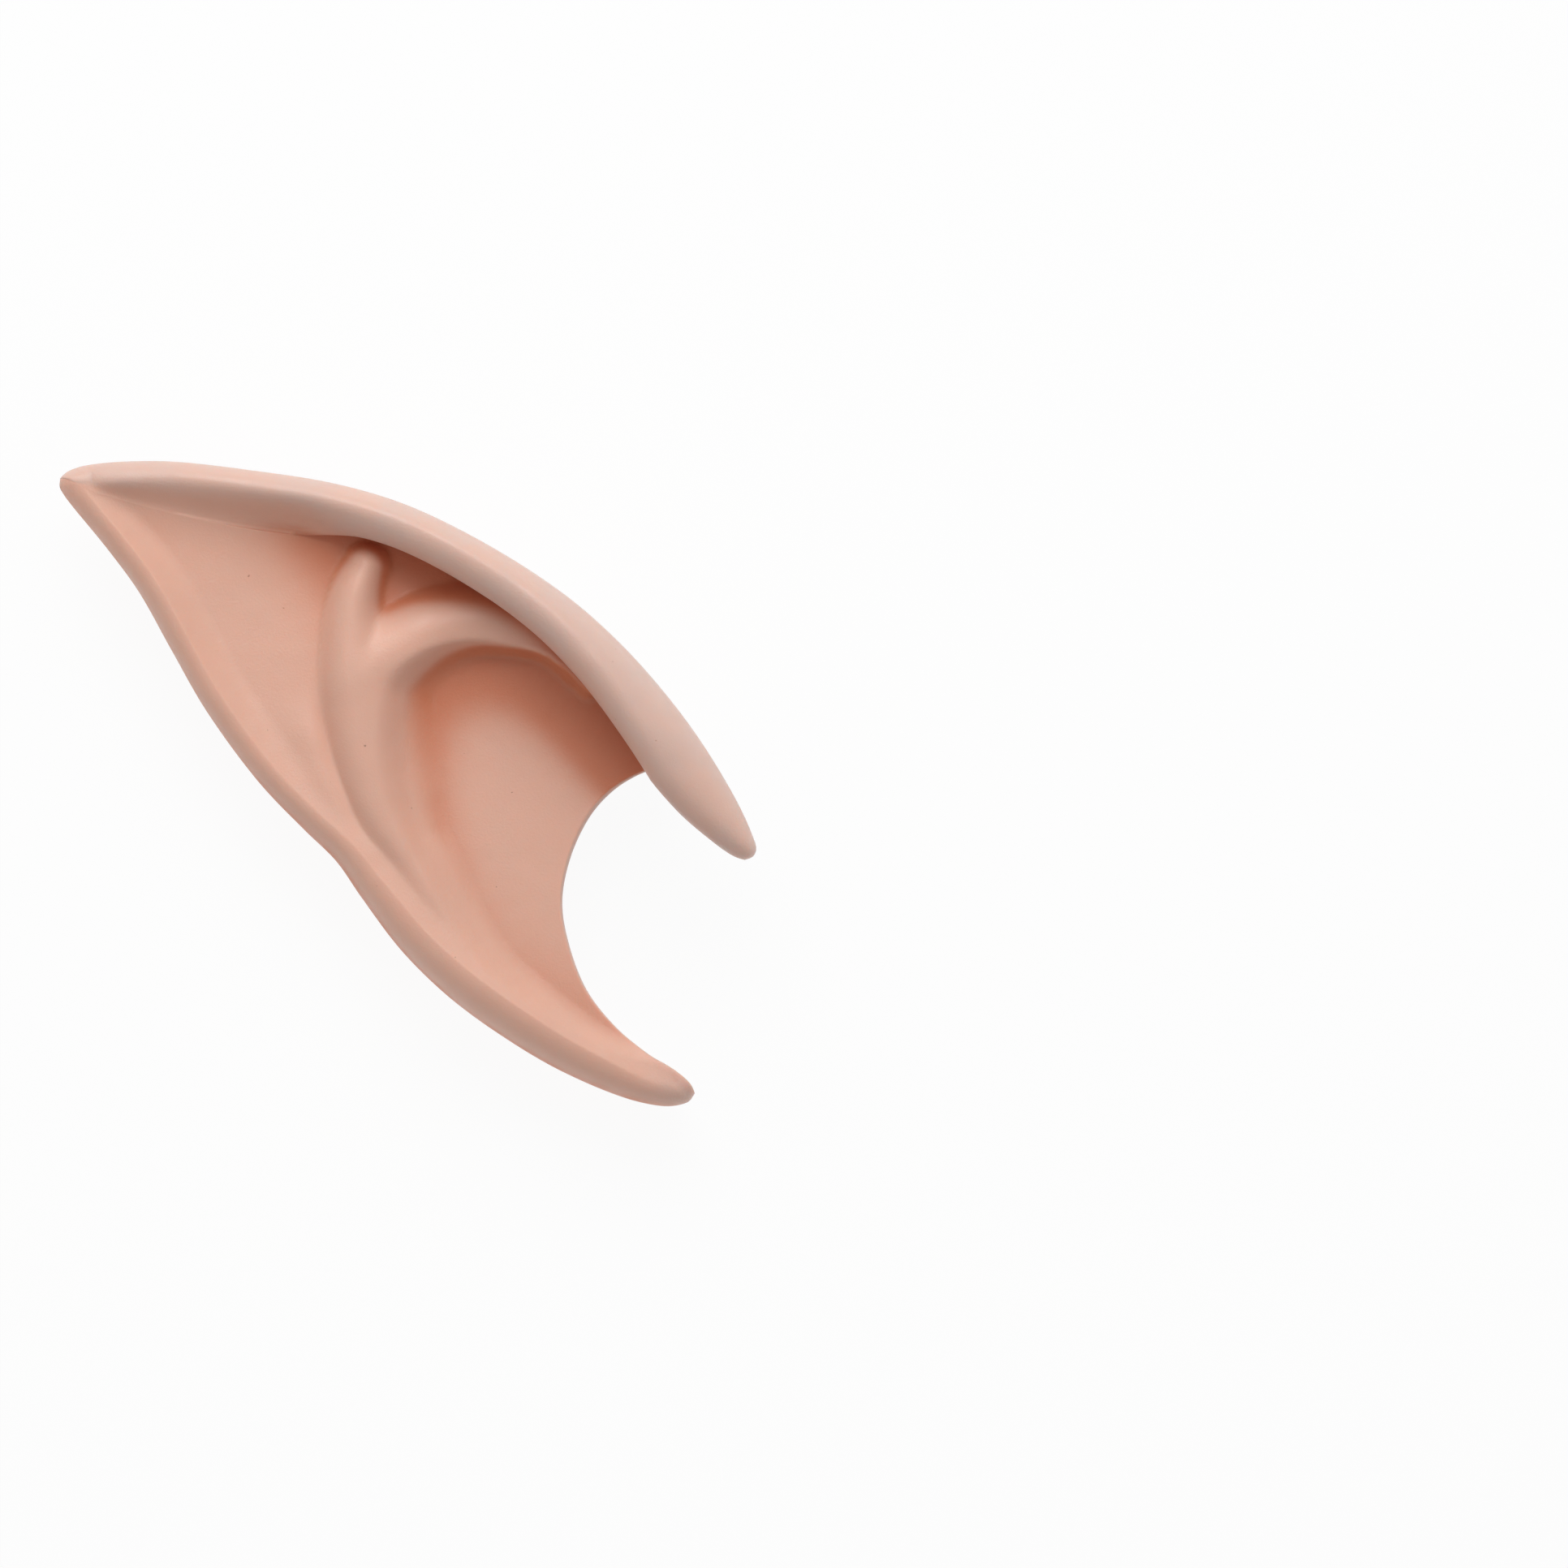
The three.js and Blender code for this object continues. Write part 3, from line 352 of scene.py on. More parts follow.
class Curve:
    """A centripetal Catmull-Rom curve in the plane, read by shares of its length."""

    def __init__(self, points, per_span=160):
        points = np.asarray(points, float)
        ends = 2 * points[[0, -1]] - points[[1, -2]]
        p = np.vstack([ends[:1], points, ends[1:]])
        samples = []
        for i in range(1, len(p) - 2):
            p0, p1, p2, p3 = p[i - 1 : i + 3]
            d0, d1, d2 = (math.sqrt(np.linalg.norm(b - a)) for a, b in ((p0, p1), (p1, p2), (p2, p3)))
            m1 = ((p1 - p0) / d0 - (p2 - p0) / (d0 + d1) + (p2 - p1) / d1) * d1
            m2 = ((p2 - p1) / d1 - (p3 - p1) / (d1 + d2) + (p3 - p2) / d2) * d1
            x = np.linspace(0, 1, per_span, endpoint=False)[:, None]
            samples.append(
                p1 + m1 * x + (3 * (p2 - p1) - 2 * m1 - m2) * x**2 + (2 * (p1 - p2) + m1 + m2) * x**3
            )
        samples.append(points[-1:])
        self.samples = np.vstack(samples)
        steps = np.linalg.norm(np.diff(self.samples, axis=0), axis=1)
        self.lengths = np.concatenate([[0], np.cumsum(steps)])
        self.length = self.lengths[-1]
        self.knots = self.lengths[::per_span] / self.length

    def point(self, share):
        reach = np.clip(share, 0, 1) * self.length
        return np.stack([np.interp(reach, self.lengths, self.samples[:, k]) for k in (0, 1)], axis=-1)

    def inward(self, share, turn):
        """The level way off the curve, to its left where turn is 1."""
        nudge = 1e-4
        tangent = self.point(np.minimum(share + nudge, 1)) - self.point(np.maximum(share - nudge, 0))
        tangent /= np.linalg.norm(tangent, axis=-1, keepdims=True)
        return np.stack([-tangent[..., 1] * turn, tangent[..., 0] * turn], axis=-1)

    def trace(self, p, pieces):
        """The nearest point on the curve: its distance, its share, and 1 on the left or -1."""
        ends = self.point(np.linspace(0, 1, pieces + 1))
        best = np.full(p.shape[:-1], np.inf)
        at = np.zeros(p.shape[:-1])
        side = np.ones(p.shape[:-1])
        for i in range(pieces):
            step = ends[i + 1] - ends[i]
            q = p - ends[i]
            share = np.clip(q @ step / (step @ step), 0, 1)
            distance = np.linalg.norm(q - share[..., None] * step, axis=-1)
            closer = distance < best
            best = np.where(closer, distance, best)
            at = np.where(closer, (i + share) / pieces, at)
            left = step[0] * q[..., 1] > step[1] * q[..., 0]
            side = np.where(closer, np.where(left, 1.0, -1.0), side)
        return best, at, side


def in_plan(points):
    """Points given in shares of the length and width, in millimetres."""
    return [(along * LENGTH, across * WIDTH) for along, across in points]


def with_curve(table):
    """A table with a line, given its curve and, for each of its rows, the share of the curve there."""
    curve = Curve(in_plan(table["line"]))
    return {**table, "curve": curve, "at": curve.knots}


back_rim = Curve(in_plan(BACK_RIM))
front_rim = Curve(in_plan(FRONT_RIM))
antihelix = with_curve(ANTIHELIX)
lower_crus = with_curve(LOWER_CRUS)
concha = with_curve(CONCHA)


def read_band(at):
    """The helix band's section at shares of the front rim."""
    read = {name: read_column(HELIX, name, at) for name in HELIX if name != "at"}
    inward = front_rim.inward(at, -1)
    breadth = read["band"] * WIDTH
    overhang = np.minimum(read["overhang"] * UNDERCUT, breadth / 2)
    rim = front_rim.point(at)
    return {
        "breadth": breadth,
        "inward": inward,
        "overhang": overhang,
        "rim": rim,
        "nose": rim + inward * level(breadth),
        "foot": rim + inward * level(breadth - overhang),
        "crest": read["crest"],
        "edge": read["edge"] * DEPTH,
        "crown": read["crown"] * DEPTH,
        "lip": read["lip"] * DEPTH,
        "sharp": read["sharp"],
    }


def column_wise(front):
    """The same section, shaped to meet a grid with one row per section."""
    return {name: value[:, None] for name, value in front.items()}


class Stray:
    """A notch edge, as how far it strays from the straight line between its ends."""

    def __init__(self, mouth, start, end):
        self.start = start
        self.end = end
        self.line = Curve([start, *in_plan(mouth), end])

    def __call__(self, s):
        return self.line.point(s) - lerp(self.start, self.end, level(s))


lobe_end = back_rim.point(1.0)
notch_band = read_band(np.array([NOTCH_SHARE]))
front_stray = Stray(FRONT_MOUTH, lobe_end, notch_band["foot"][0])
back_stray = Stray(BACK_MOUTH, lobe_end, notch_band["rim"][0])
spike_nose = Curve([notch_band["nose"][0], *in_plan(SPIKE_NOSE)])


def back_rim_share(t, inset):
    """Where a row meets the back rim. The inner surface's last row stops short of the lobe end."""
    share = t**BACK_RIM_POWER
    return share * (1 - PRONG_REACH / back_rim.length) if inset else share


def plan_point(t, s, front_end, stray, inset):
    """Where row t is a share s of the way from the back rim to its front end, seen from above."""
    outer = back_rim.point(back_rim_share(t, 0))
    p = lerp(outer, front_end, level(s)) + stray(s) * level(t**NOTCH_POWER)
    if inset:
        shift = back_rim.point(back_rim_share(t, inset)) - outer
        p = p + shift * level((1 - s) ** PRONG_POWER)
    return p


def across(t, s, columns):
    """A height between the floor's left, middle and right ones, on a parabola through the three."""
    left, middle, right = (read_column(FLOOR, column, t) for column in columns)
    return left * (1 - s) * (1 - 2 * s) + middle * 4 * s * (1 - s) + right * s * (2 * s - 1)


def fold_height(p, inset):
    """How much the folds raise or sink the floor."""
    height = np.zeros(p.shape[:-1])
    for fold in FOLDS.values():
        distance, at, side = Curve(in_plan(fold["line"])).trace(p, FOLD_PIECES)
        outer_reach = np.where(side > 0, fold["face"], fold["back"]) * WIDTH
        reach = np.maximum(outer_reach - np.sign(fold["height"]) * inset, outer_reach / 2)
        fade = smooth(at / fold["fade"]) * smooth((1 - at) / fold["fade"])
        wave = (1 + np.cos(np.pi * np.minimum(distance / reach, 1))) / 2
        height += fold["height"] * DEPTH * fade * wave
    return height


def rib_height(rib, p, inset):
    """Height of a rib's rounded back, which falls away without end on both sides."""
    distance, at, side = rib["curve"].trace(p, FOLD_PIECES)
    reach = np.where(side > 0, read_column(rib, "face", at), read_column(rib, "back", at)) * WIDTH
    reach = np.maximum(reach - inset, reach / 2)
    return (read_column(rib, "crest", at) - RIB_DROP * (distance / reach) ** 2) * DEPTH - inset


def higher(a, b, softness):
    """The higher of two surfaces, with the crease between them rounded."""
    return (a + b + np.sqrt((a - b) ** 2 + softness**2)) / 2


def concha_share(p, inset):
    """How far the concha's wall has fallen: 0 outside its edge and 1 on its floor."""
    distance, at, side = concha["curve"].trace(p, RIM_PIECES)
    fallen = np.clip((distance * side + inset) / (read_column(concha, "soft", at) * WIDTH), 0, 1)
    return lerp(smooth(fallen), np.sin(np.pi / 2 * fallen), read_column(concha, "crisp", at))


def floor_height(p, t, s, inset):
    """Height of the front skin inside its rims, or of the surface inset inside it."""
    rim_distance, rim_at, _ = back_rim.trace(p, RIM_PIECES)
    read = {name: read_column(BACK_ROLL, name, rim_at) for name in BACK_ROLL if name != "at"}
    edge = read["edge"] * DEPTH
    crest = read["crest"] * DEPTH - inset
    crest_in = read["crest_in"] * WIDTH
    foot_in = read["foot_in"] * WIDTH
    height = across(t, s, ["left", "middle", "right"]) * DEPTH + fold_height(p, inset) - inset
    ribs = higher(rib_height(antihelix, p, inset), rib_height(lower_crus, p, inset), RIB_SOFTNESS)
    height = higher(height, ribs, CREASE_SOFTNESS)
    past_crest = np.clip((rim_distance - crest_in) / (foot_in - crest_in), 0, 1)
    height = lerp(crest, height, np.sin(np.pi / 2 * past_crest))
    bowl = across(t, s, ["bowl_left", "bowl_middle", "bowl_right"]) * DEPTH - inset
    height = lerp(height, bowl, concha_share(p, inset))
    fall = np.clip(1 - (rim_distance - inset) / (crest_in - inset), 0, 1)
    return edge + (height - edge) * np.sqrt(1 - fall**2)


def band_inset(front, inset):
    """The skin's thickness in the helix band, less where the band is too narrow for it."""
    return np.minimum(inset, front["crest"] * front["breadth"] * FULLEST)


def floor_points(t, front, inset):
    """Rows from the back rim over its roll and across the floor to the helix band's foot."""
    t = t[:, None]
    column = np.arange(ROLL_COLUMNS + FLOOR_COLUMNS + 1)[None, :]
    outer = back_rim.point(back_rim_share(t, 0))
    row_length = np.maximum(np.linalg.norm(outer - front["foot"], axis=-1), 1)
    foot = read_column(BACK_ROLL, "foot_in", back_rim_share(t, 0)) * WIDTH
    roll_share = np.clip(foot / row_length, 0, ROLL_COLUMNS / (ROLL_COLUMNS + FLOOR_COLUMNS))
    on_roll = roll_share * (column / ROLL_COLUMNS) ** ROLL_CROWDING
    past_roll = (column - ROLL_COLUMNS) / FLOOR_COLUMNS
    s = np.where(column <= ROLL_COLUMNS, on_roll, lerp(roll_share, 1, past_roll))
    p = plan_point(t, s, front["foot"], front_stray, inset)
    if inset:
        step_in = inset * smooth(1 - (s * row_length) / SKIN_FADE)
        p = p + back_rim.inward(back_rim_share(t, inset), 1) * level(step_in)
        near_wall = smooth(past_roll) ** FOOT_POWER
        p = p - front["inward"] * level(band_inset(front, inset) * FOOT_SKIN * near_wall)
    return with_height(p, floor_height(p, t, s, inset))


def lip_points(front, foot_height, inset):
    """The helix band's overhanging side, from its foot on the floor to its lip."""
    w = (np.arange(1, LIP_COLUMNS) / LIP_COLUMNS)[None, :]
    skin = band_inset(front, inset)
    lean = front["overhang"] * (1 - w) ** 2
    p = front["nose"] - front["inward"] * level(lean + skin * lerp(FOOT_SKIN, 1, w))
    return with_height(p, lerp(foot_height, front["lip"], w))


def crown_points(front, inset):
    """The band's arched top, from its nose to its rim."""
    w = (np.arange(CROWN_COLUMNS + 1) / CROWN_COLUMNS)[None, :]
    skin = band_inset(front, inset)
    top = np.maximum(front["crown"] - skin, front["lip"])
    crest = front["crest"] * front["breadth"]
    up = np.clip(w / CREST_AT, 0, 1)
    down = np.pi / 2 * (w - CREST_AT) / (1 - CREST_AT)
    swing = lerp(up, 1 - np.cos(np.pi / 2 * up), front["sharp"])
    rise = lerp(smooth(up), np.sin(np.pi / 2 * up), front["sharp"])
    on_nose = w < CREST_AT
    past_crest = crest + (front["breadth"] - crest - skin) * np.sin(down)
    outward = np.where(on_nose, skin + (crest - skin) * swing, past_crest)
    height = np.where(on_nose, lerp(front["lip"], top, rise), lerp(front["edge"], top, np.cos(down)))
    return with_height(front["nose"] - front["inward"] * level(outward), height)


def turned(distance, reach):
    """How far the back has turned flat, on a quarter round from its rim."""
    left = np.clip(1 - distance / reach, 0, 1)
    return np.sqrt(1 - left**2)


def back_points(t, front, inset):
    """Rows of the back skin, from the helix band's rim round to the back rim."""
    t = t[:, None]
    w = ((1 - np.cos(np.pi * np.arange(1, BACK_COLUMNS) / BACK_COLUMNS)) / 2)[None, :]
    skin = band_inset(front, inset)
    share = back_rim_share(t, inset)
    p = plan_point(t, 1 - w, front["rim"], back_stray, inset)
    reach = np.minimum(BACK_TURN, np.linalg.norm(back_rim.point(share) - front["rim"], axis=-1) / 2)
    reach = np.maximum(reach - inset, TINY)
    if inset:
        p = p + back_rim.inward(share, 1) * level(inset * w) + front["inward"] * level(skin * (1 - w))
    bottom = read_column(FLOOR, "bottom", t) * DEPTH + inset
    edge = lerp(front["edge"], read_column(BACK_ROLL, "edge", share) * DEPTH, w)
    from_front = turned(front_rim.trace(p, RIM_PIECES)[0] - skin, reach)
    from_back = turned(back_rim.trace(p, RIM_PIECES)[0] - inset, reach)
    return with_height(p, lerp(edge, bottom, from_front * from_back))


def row_points(t, inset):
    """Closed rows of the skin, from the back rim over the front and round the back."""
    front = column_wise(read_band(NOTCH_SHARE * t))
    floor = floor_points(t, front, inset)
    foot_height = floor[:, -1:, 2]
    front["lip"] = lerp(foot_height, front["lip"], front["sharp"])
    lip = lip_points(front, foot_height, inset)
    return np.concatenate([floor, lip, crown_points(front, inset), back_points(t, front, inset)], axis=1)


def row_shares(inset):
    """Where the rows lie, from the tip or the pocket's end to the notch."""
    x = np.arange(0 if inset else 1, ROWS + 1) / ROWS
    start = NOSE_REACH / (front_rim.length * NOTCH_SHARE) if inset else 0.0
    return lerp(start, 1, lerp(x, smooth(x), END_CROWDING))


def spike_front(x):
    """The band's section along the spike, between the spike's own two outlines."""
    front = column_wise(read_band(lerp(NOTCH_SHARE, 1, x)))
    front["nose"] = spike_nose.point(x)[:, None]
    chord = front["rim"] - front["nose"]
    front["breadth"] = np.linalg.norm(chord, axis=-1)
    front["inward"] = -chord / level(np.maximum(front["breadth"], TINY))
    return front


def spike_rows(inset):
    """Rows over the spike's top, from the notch almost to its point."""
    x = 1 - (1 - np.arange(1, SPIKE_ROWS) / SPIKE_ROWS) ** SPIKE_CROWDING
    return crown_points(spike_front(x), inset)


def spike_tip(inset):
    """The spike's point, or where the hollow inside it ends."""
    tip = spike_front(np.array([1 - (SPIKE_REACH if inset else 0) / spike_nose.length]))
    return with_height((tip["rim"] + tip["nose"])[:, 0] / 2, tip["edge"][:, 0])


def edge_rounds(outer, inner, outward):
    """Lines of points that round an open edge off, from its outer to its inner line."""
    middle = (outer + inner) / 2
    half = (outer - inner) / 2
    bulge = outward * np.linalg.norm(half, axis=-1, keepdims=True) * EDGE_BULGE
    angles = np.pi * np.arange(1, EDGE_COLUMNS + 1) / (EDGE_COLUMNS + 1)
    return [middle + half * math.cos(a) + bulge * math.sin(a) for a in angles]


def square_to(line, turn):
    """The level way off a line of points, to its left where turn is 1."""
    step = np.gradient(line[:, :2], axis=0)
    step /= np.linalg.norm(step, axis=-1, keepdims=True)
    return np.stack([-step[:, 1] * turn, step[:, 0] * turn, np.zeros(len(line))], axis=-1)


def soften(directions):
    """Unit directions round a closed loop, each eased towards its neighbours."""
    for _ in range(EDGE_EASING):
        directions = directions + np.roll(directions, 1, axis=0) + np.roll(directions, -1, axis=0)
        directions /= np.linalg.norm(directions, axis=-1, keepdims=True)
    return directions


def laid_down(points):
    """Turns the ear to its worn attitude, in metres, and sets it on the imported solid's place."""
    turn = math.radians(-LEAN_DEGREES)
    x = points[:, 0] * math.cos(turn) - points[:, 1] * math.sin(turn)
    y = points[:, 0] * math.sin(turn) + points[:, 1] * math.cos(turn)
    placed = np.stack([x, y, points[:, 2]], axis=-1) / MM_PER_M
    low, high = (np.array(corner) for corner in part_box("ear_shell"))
    middle = (placed.min(axis=0) + placed.max(axis=0)) / 2
    shift = (low + high) / 2 - middle
    shift[2] = low[2] - placed[:, 2].min()
    return placed + shift


class SkinMesh:
    """Vertices and faces. Each vertex has two shares: how much it lies in the hollow, away from the rims'
    painted sheen, and in a fold, for painted shade.
    """

    def __init__(self):
        self.points = []
        self.shares = {"hollow": [], "fold": []}
        self.faces = []

    def add(self, points, hollow=0.0, fold=0.0):
        """Adds vertices and gives their numbers, in the shape that the points have."""
        first = sum(len(part) for part in self.points)
        self.points.append(points.reshape(-1, 3))
        for name, share in (("hollow", hollow), ("fold", fold)):
            self.shares[name].append(np.broadcast_to(share, points.shape[:-1]).ravel())
        return np.arange(first, first + points[..., 0].size).reshape(points.shape[:-1])

    def join(self, rows):
        """Faces between neighbouring rows, triangles where two corners are one."""
        for a, b in zip(rows[:-1], rows[1:]):
            for i in range(len(a) - 1):
                corners = list(dict.fromkeys(int(c) for c in (a[i], b[i], b[i + 1], a[i + 1])))
                if len(corners) > 2:
                    self.faces.append(corners)

    def ring(self, rows):
        """Faces between neighbouring rows that each close on themselves."""
        self.join([np.append(row, row[0]) for row in rows])

    def object(self, name):
        mesh = bpy.data.meshes.new(name)
        mesh.from_pydata(laid_down(np.vstack(self.points)), [], self.faces)
        for share_name, parts in self.shares.items():
            share = mesh.attributes.new(share_name, "FLOAT", "POINT")
            share.data.foreach_set("value", np.concatenate(parts).astype(np.float32))
        body = bmesh.new()
        body.from_mesh(mesh)
        bmesh.ops.recalc_face_normals(body, faces=body.faces)
        body.to_mesh(mesh)
        body.free()
        mesh.shade_smooth()
        piece = bpy.data.objects.new(name, mesh)
        bpy.context.collection.objects.link(piece)
        return piece


def hollow_share(sharp):
    """How much each point of the rows belongs to the hollow inside the rims; the rest is painted with the
    rims' pale sheen.
    """
    columns = np.arange(RIM_COLUMN + BACK_COLUMNS)
    rise = lerp(ROLL_HOLLOW_SHARE, 1, smooth(columns / ROLL_COLUMNS))
    past_nose = (columns - NOSE_COLUMN) / CROWN_COLUMNS
    past_foot = (columns - NOSE_COLUMN + LIP_COLUMNS) / LIP_COLUMNS
    behind = ROLL_HOLLOW_SHARE * smooth((columns - RIM_COLUMN) / BACK_COLUMNS)
    return rise * (1 - smooth(lerp(past_nose / CREST_AT, past_foot, sharp)) ** HOLLOW_FADE_POWER) + behind


def spread(plan):
    """Each cell of a plan averaged with its four neighbours."""
    wide = np.pad(plan, 1)
    cells = [plan, wide[:-2, 1:-1], wide[2:, 1:-1], wide[1:-1, :-2], wide[1:-1, 2:]]
    return sum(cells) / len(cells)


def read_plan(plan, place):
    """A plan's values at places given in cells, evenly between the cells' middles."""
    x, y = np.floor(place).astype(int)
    across_x, across_y = place - np.floor(place)
    near = lerp(plan[x, y], plan[x + 1, y], across_x)
    far = lerp(plan[x, y + 1], plan[x + 1, y + 1], across_x)
    return lerp(near, far, across_y)


def fold_shade_share(points):
    """How deep each point of the rows lies in a fold, how far below the mean of its surroundings, which
    sets the painted shade there.
    """
    place = np.moveaxis(points[..., :2], -1, 0) / PLAN_CELL
    place = place - place.min(axis=(1, 2), keepdims=True)
    x, y = np.round(place).astype(int)
    around = np.zeros((x.max() + 2, y.max() + 2))
    np.maximum.at(around, (x, y), points[..., 2])
    share = (around > 0).astype(float)
    for _ in range(AROUND_STEPS):
        around = spread(around)
        share = spread(share)
    return smooth((read_plan(around / np.maximum(share, TINY), place) - points[..., 2]) / FULL_FOLD_SHADE)


def sheen_and_shade_shares(points):
    """The shares of the hollow's colour, against the rims' painted sheen, and of the folds' painted shade
    at the outer surface's points.
    """
    hollow = hollow_share(read_column(HELIX, "sharp", NOTCH_SHARE * row_shares(0))[:, None])
    hollow = hollow * smooth(np.linalg.norm(points[..., :2] - lobe_end, axis=-1) / PALE_END)
    return hollow, fold_shade_share(points) * np.sqrt(hollow)


def add_spike(skin, notch_row, inset):
    """The front spike, joined to the row at the notch. Gives its rows, that one first."""
    rows = [notch_row[NOSE_COLUMN : RIM_COLUMN + 1], *skin.add(spike_rows(inset))]
    rows.append(np.full(CROWN_COLUMNS + 1, skin.add(spike_tip(inset))[0]))
    skin.join(rows)
    return np.array(rows)


def open_edge(spike, notch_row):
    """The loop round the open edge: under the spike, and along the notch in the back and front skin."""
    back = notch_row[RIM_COLUMN + 1 :]
    front = notch_row[: NOSE_COLUMN + 1]
    return np.concatenate([spike[::-1, -1], back, front, spike[1:-1, 0]])


def edge_outward(notch, count):
    """Which way the open edge bulges: down from the spike, and into the notch from both skins."""
    back = square_to(notch[RIM_COLUMN:], 1)
    front = square_to(notch[: NOSE_COLUMN + 1], -1)
    outward = np.tile(DOWN, (count, 1))
    outward[SPIKE_ROWS : SPIKE_ROWS + len(back) + len(front)] = np.vstack([back, front])
    return soften(outward)


def make_skin():
    """The whole skin as one closed body: outer and inner surface, and rounded open edges."""
    skin = SkinMesh()
    outer_points = row_points(row_shares(0), 0)
    outer = skin.add(outer_points, *sheen_and_shade_shares(outer_points))
    inner = skin.add(row_points(row_shares(WALL), WALL))
    tip = np.full(outer.shape[1], skin.add(row_points(np.zeros(1), 0)[0, :1])[0])
    skin.ring([tip, *outer])
    skin.ring(list(inner))
    skin.faces.append([int(i) for i in inner[0]])

    outer_line = open_edge(add_spike(skin, outer[-1], 0), outer[-1])
    inner_line = open_edge(add_spike(skin, inner[-1], WALL), inner[-1])
    points = np.vstack(skin.points)
    outward = edge_outward(outer_points[-1], len(outer_line))
    rounds = edge_rounds(points[outer_line], points[inner_line], outward)
    skin.ring([outer_line, *(skin.add(line) for line in rounds), inner_line])
    return skin.object("latex_ear")


def add_node(tree, kind, inputs=None, **settings):
    """One shader node. Inputs, by name or number, are values or sockets to link to."""
    made = tree.nodes.new(kind)
    for name, value in settings.items():
        setattr(made, name, value)
    for key, value in (inputs or {}).items():
        if isinstance(value, bpy.types.NodeSocket):
            tree.links.new(value, made.inputs[key])
        else:
            made.inputs[key].default_value = value
    return made


def blank_material(name):
    material = bpy.data.materials.new(name)
    material.use_nodes = True
    material.node_tree.nodes.clear()
    return material


def as_light(colour):
    """A colour given as in a photograph, as light."""
    return (*Color([part / FULL_LEVEL for part in colour]).from_srgb_to_scene_linear(), 1.0)


def grey(share):
    return (share, share, share, 1.0)


def noise(tree, place, grain):
    inputs = {
        "Vector": place,
        "Scale": MM_PER_M / grain["size"],
        "Detail": grain["detail"],
        "Roughness": grain["roughness"],
    }
    return add_node(tree, "ShaderNodeTexNoise", inputs).outputs["Fac"]


def ramp(tree, value, span, results):
    """A value that crosses a span, turned into one that eases between two results."""
    inputs = {
        "Value": value,
        "From Min": span[0],
        "From Max": span[1],
        "To Min": results[0],
        "To Max": results[1],
    }
    return add_node(tree, "ShaderNodeMapRange", inputs, interpolation_type="SMOOTHSTEP").outputs["Result"]


def mix(tree, share, first, second):
    inputs = {MIX_SHARE: share, MIX_FIRST: first, MIX_SECOND: second}
    return add_node(tree, "ShaderNodeMix", inputs, data_type="RGBA").outputs[MIX_RESULT]


def bump(tree, height, strength, depth, under=None):
    """Relief by a height, with a depth in millimetres, laid over the relief under it."""
    inputs = {"Height": height, "Strength": strength, "Distance": depth / MM_PER_M}
    if under:
        inputs["Normal"] = under
    return add_node(tree, "ShaderNodeBump", inputs).outputs["Normal"]


def share_of(tree, name):
    """A share that the skin's vertices hold."""
    return add_node(tree, "ShaderNodeAttribute", attribute_name=name).outputs["Fac"]


def latex_colour(tree, place):
    """Rims painted pale as a sheen of the light from above, a pinker hollow, mottled and with a few
    specks, and painted shade in the folds.
    """
    colour = mix(tree, share_of(tree, "hollow"), as_light(RIM_SHEEN_COLOUR), as_light(HOLLOW_COLOUR))
    mottle = ramp(tree, noise(tree, place, MOTTLE), MOTTLE_RANGE, (0, MOTTLE_MIX))
    colour = mix(tree, mottle, colour, as_light(MOTTLE_COLOUR))
    specks = ramp(tree, noise(tree, place, SPECKS), SPECK_RANGE, (0, SPECK_MIX))
    colour = mix(tree, specks, colour, as_light(SPECK_COLOUR))
    # Painted shade: the folds are darkened towards orange.
    folds = ramp(tree, share_of(tree, "fold"), (0, 1), (0, FOLD_SHADE_MIX))
    return mix(tree, folds, colour, as_light(FOLD_SHADE_COLOUR))


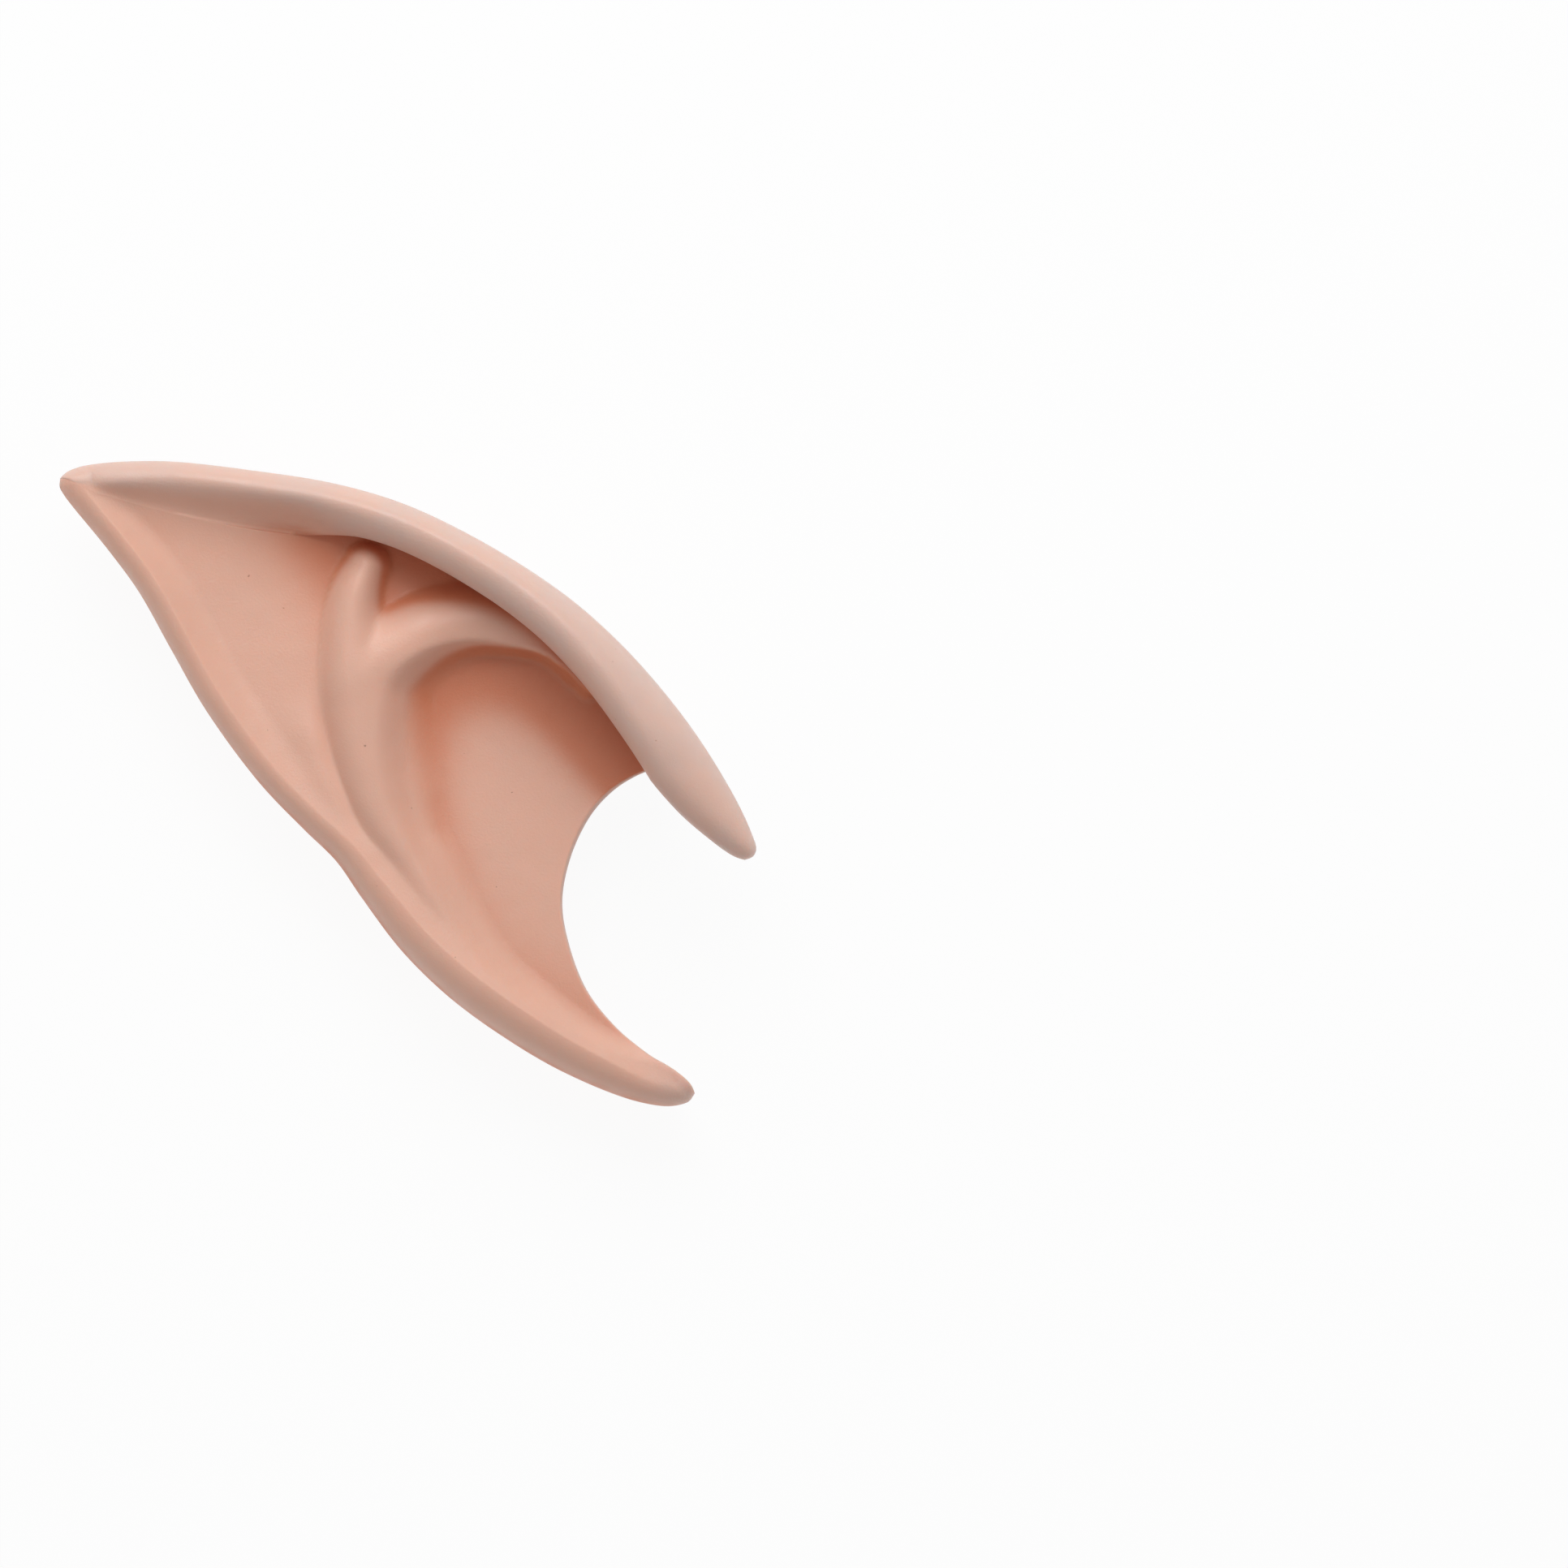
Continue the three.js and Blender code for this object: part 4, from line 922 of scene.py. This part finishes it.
def latex_material():
    """Satin flesh latex with fine pores: light passes a little way into it."""
    material = blank_material("latex_skin")
    tree = material.node_tree
    place = add_node(tree, "ShaderNodeTexCoord").outputs["Object"]
    waves = bump(tree, noise(tree, place, WAVES), WAVE_STRENGTH, WAVE_DEPTH)
    inputs = {
        "Base Color": latex_colour(tree, place),
        "Roughness": ramp(tree, noise(tree, place, SATIN), SATIN_RANGE, ROUGHNESS_RANGE),
        "Normal": bump(tree, noise(tree, place, PORES), PORE_STRENGTH, PORE_DEPTH, waves),
        "Subsurface Weight": INNER_LIGHT,
        "Subsurface Radius": INNER_REACH_BY_COLOUR,
        "Subsurface Scale": INNER_REACH / MM_PER_M,
        "Specular IOR Level": SHINE,
    }
    latex = add_node(tree, "ShaderNodeBsdfPrincipled", inputs)
    add_node(tree, "ShaderNodeOutputMaterial", {"Surface": latex.outputs["BSDF"]})
    return material


def make_floor():
    """A wide plain white floor, which glows a little so that shadows on it stay faint."""
    bpy.ops.mesh.primitive_plane_add(size=FLOOR_SIZE)
    floor = bpy.context.object
    floor.name = "floor"
    material = blank_material("white_floor")
    tree = material.node_tree
    paint = add_node(tree, "ShaderNodeBsdfDiffuse", {"Color": grey(FLOOR_WHITE)}).outputs["BSDF"]
    glow = add_node(tree, "ShaderNodeEmission", {"Color": grey(1), "Strength": FLOOR_GLOW})
    both = add_node(tree, "ShaderNodeAddShader", {0: paint, 1: glow.outputs["Emission"]})
    add_node(tree, "ShaderNodeOutputMaterial", {"Surface": both.outputs["Shader"]})
    floor.data.materials.append(material)
    return floor


def add_window():
    """A square area light that faces the ear."""
    light = bpy.data.lights.new("window", "AREA")
    light.size = WINDOW_SIZE
    light.energy = WINDOW_POWER
    lamp = bpy.data.objects.new("window", light)
    lamp.location = WINDOW_PLACE
    lamp.rotation_euler = Vector(WINDOW_PLACE).to_track_quat("Z", "Y").to_euler()
    bpy.context.collection.objects.link(lamp)


def light_scene():
    world = bpy.data.worlds.new("soft_room")
    bpy.context.scene.world = world
    world.use_nodes = True
    background = world.node_tree.nodes["Background"]
    background.inputs["Color"].default_value = grey(1)
    background.inputs["Strength"].default_value = ROOM_LIGHT
    add_window()
    bpy.context.scene.view_settings.view_transform = "Standard"


def add_camera():
    """Straight down on the ear, as in the photograph, with no perspective."""
    lens = bpy.data.cameras.new("camera")
    lens.type = "ORTHO"
    lens.ortho_scale = VIEW_WIDTH
    camera = bpy.data.objects.new("camera", lens)
    camera.location = (*VIEW_MIDDLE, CAMERA_HEIGHT)
    bpy.context.collection.objects.link(camera)
    bpy.context.scene.camera = camera


add_camera()
ear = make_skin()
ear.data.materials.append(latex_material())
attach(ear, "root")
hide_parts("ear_shell")
make_floor()
light_scene()
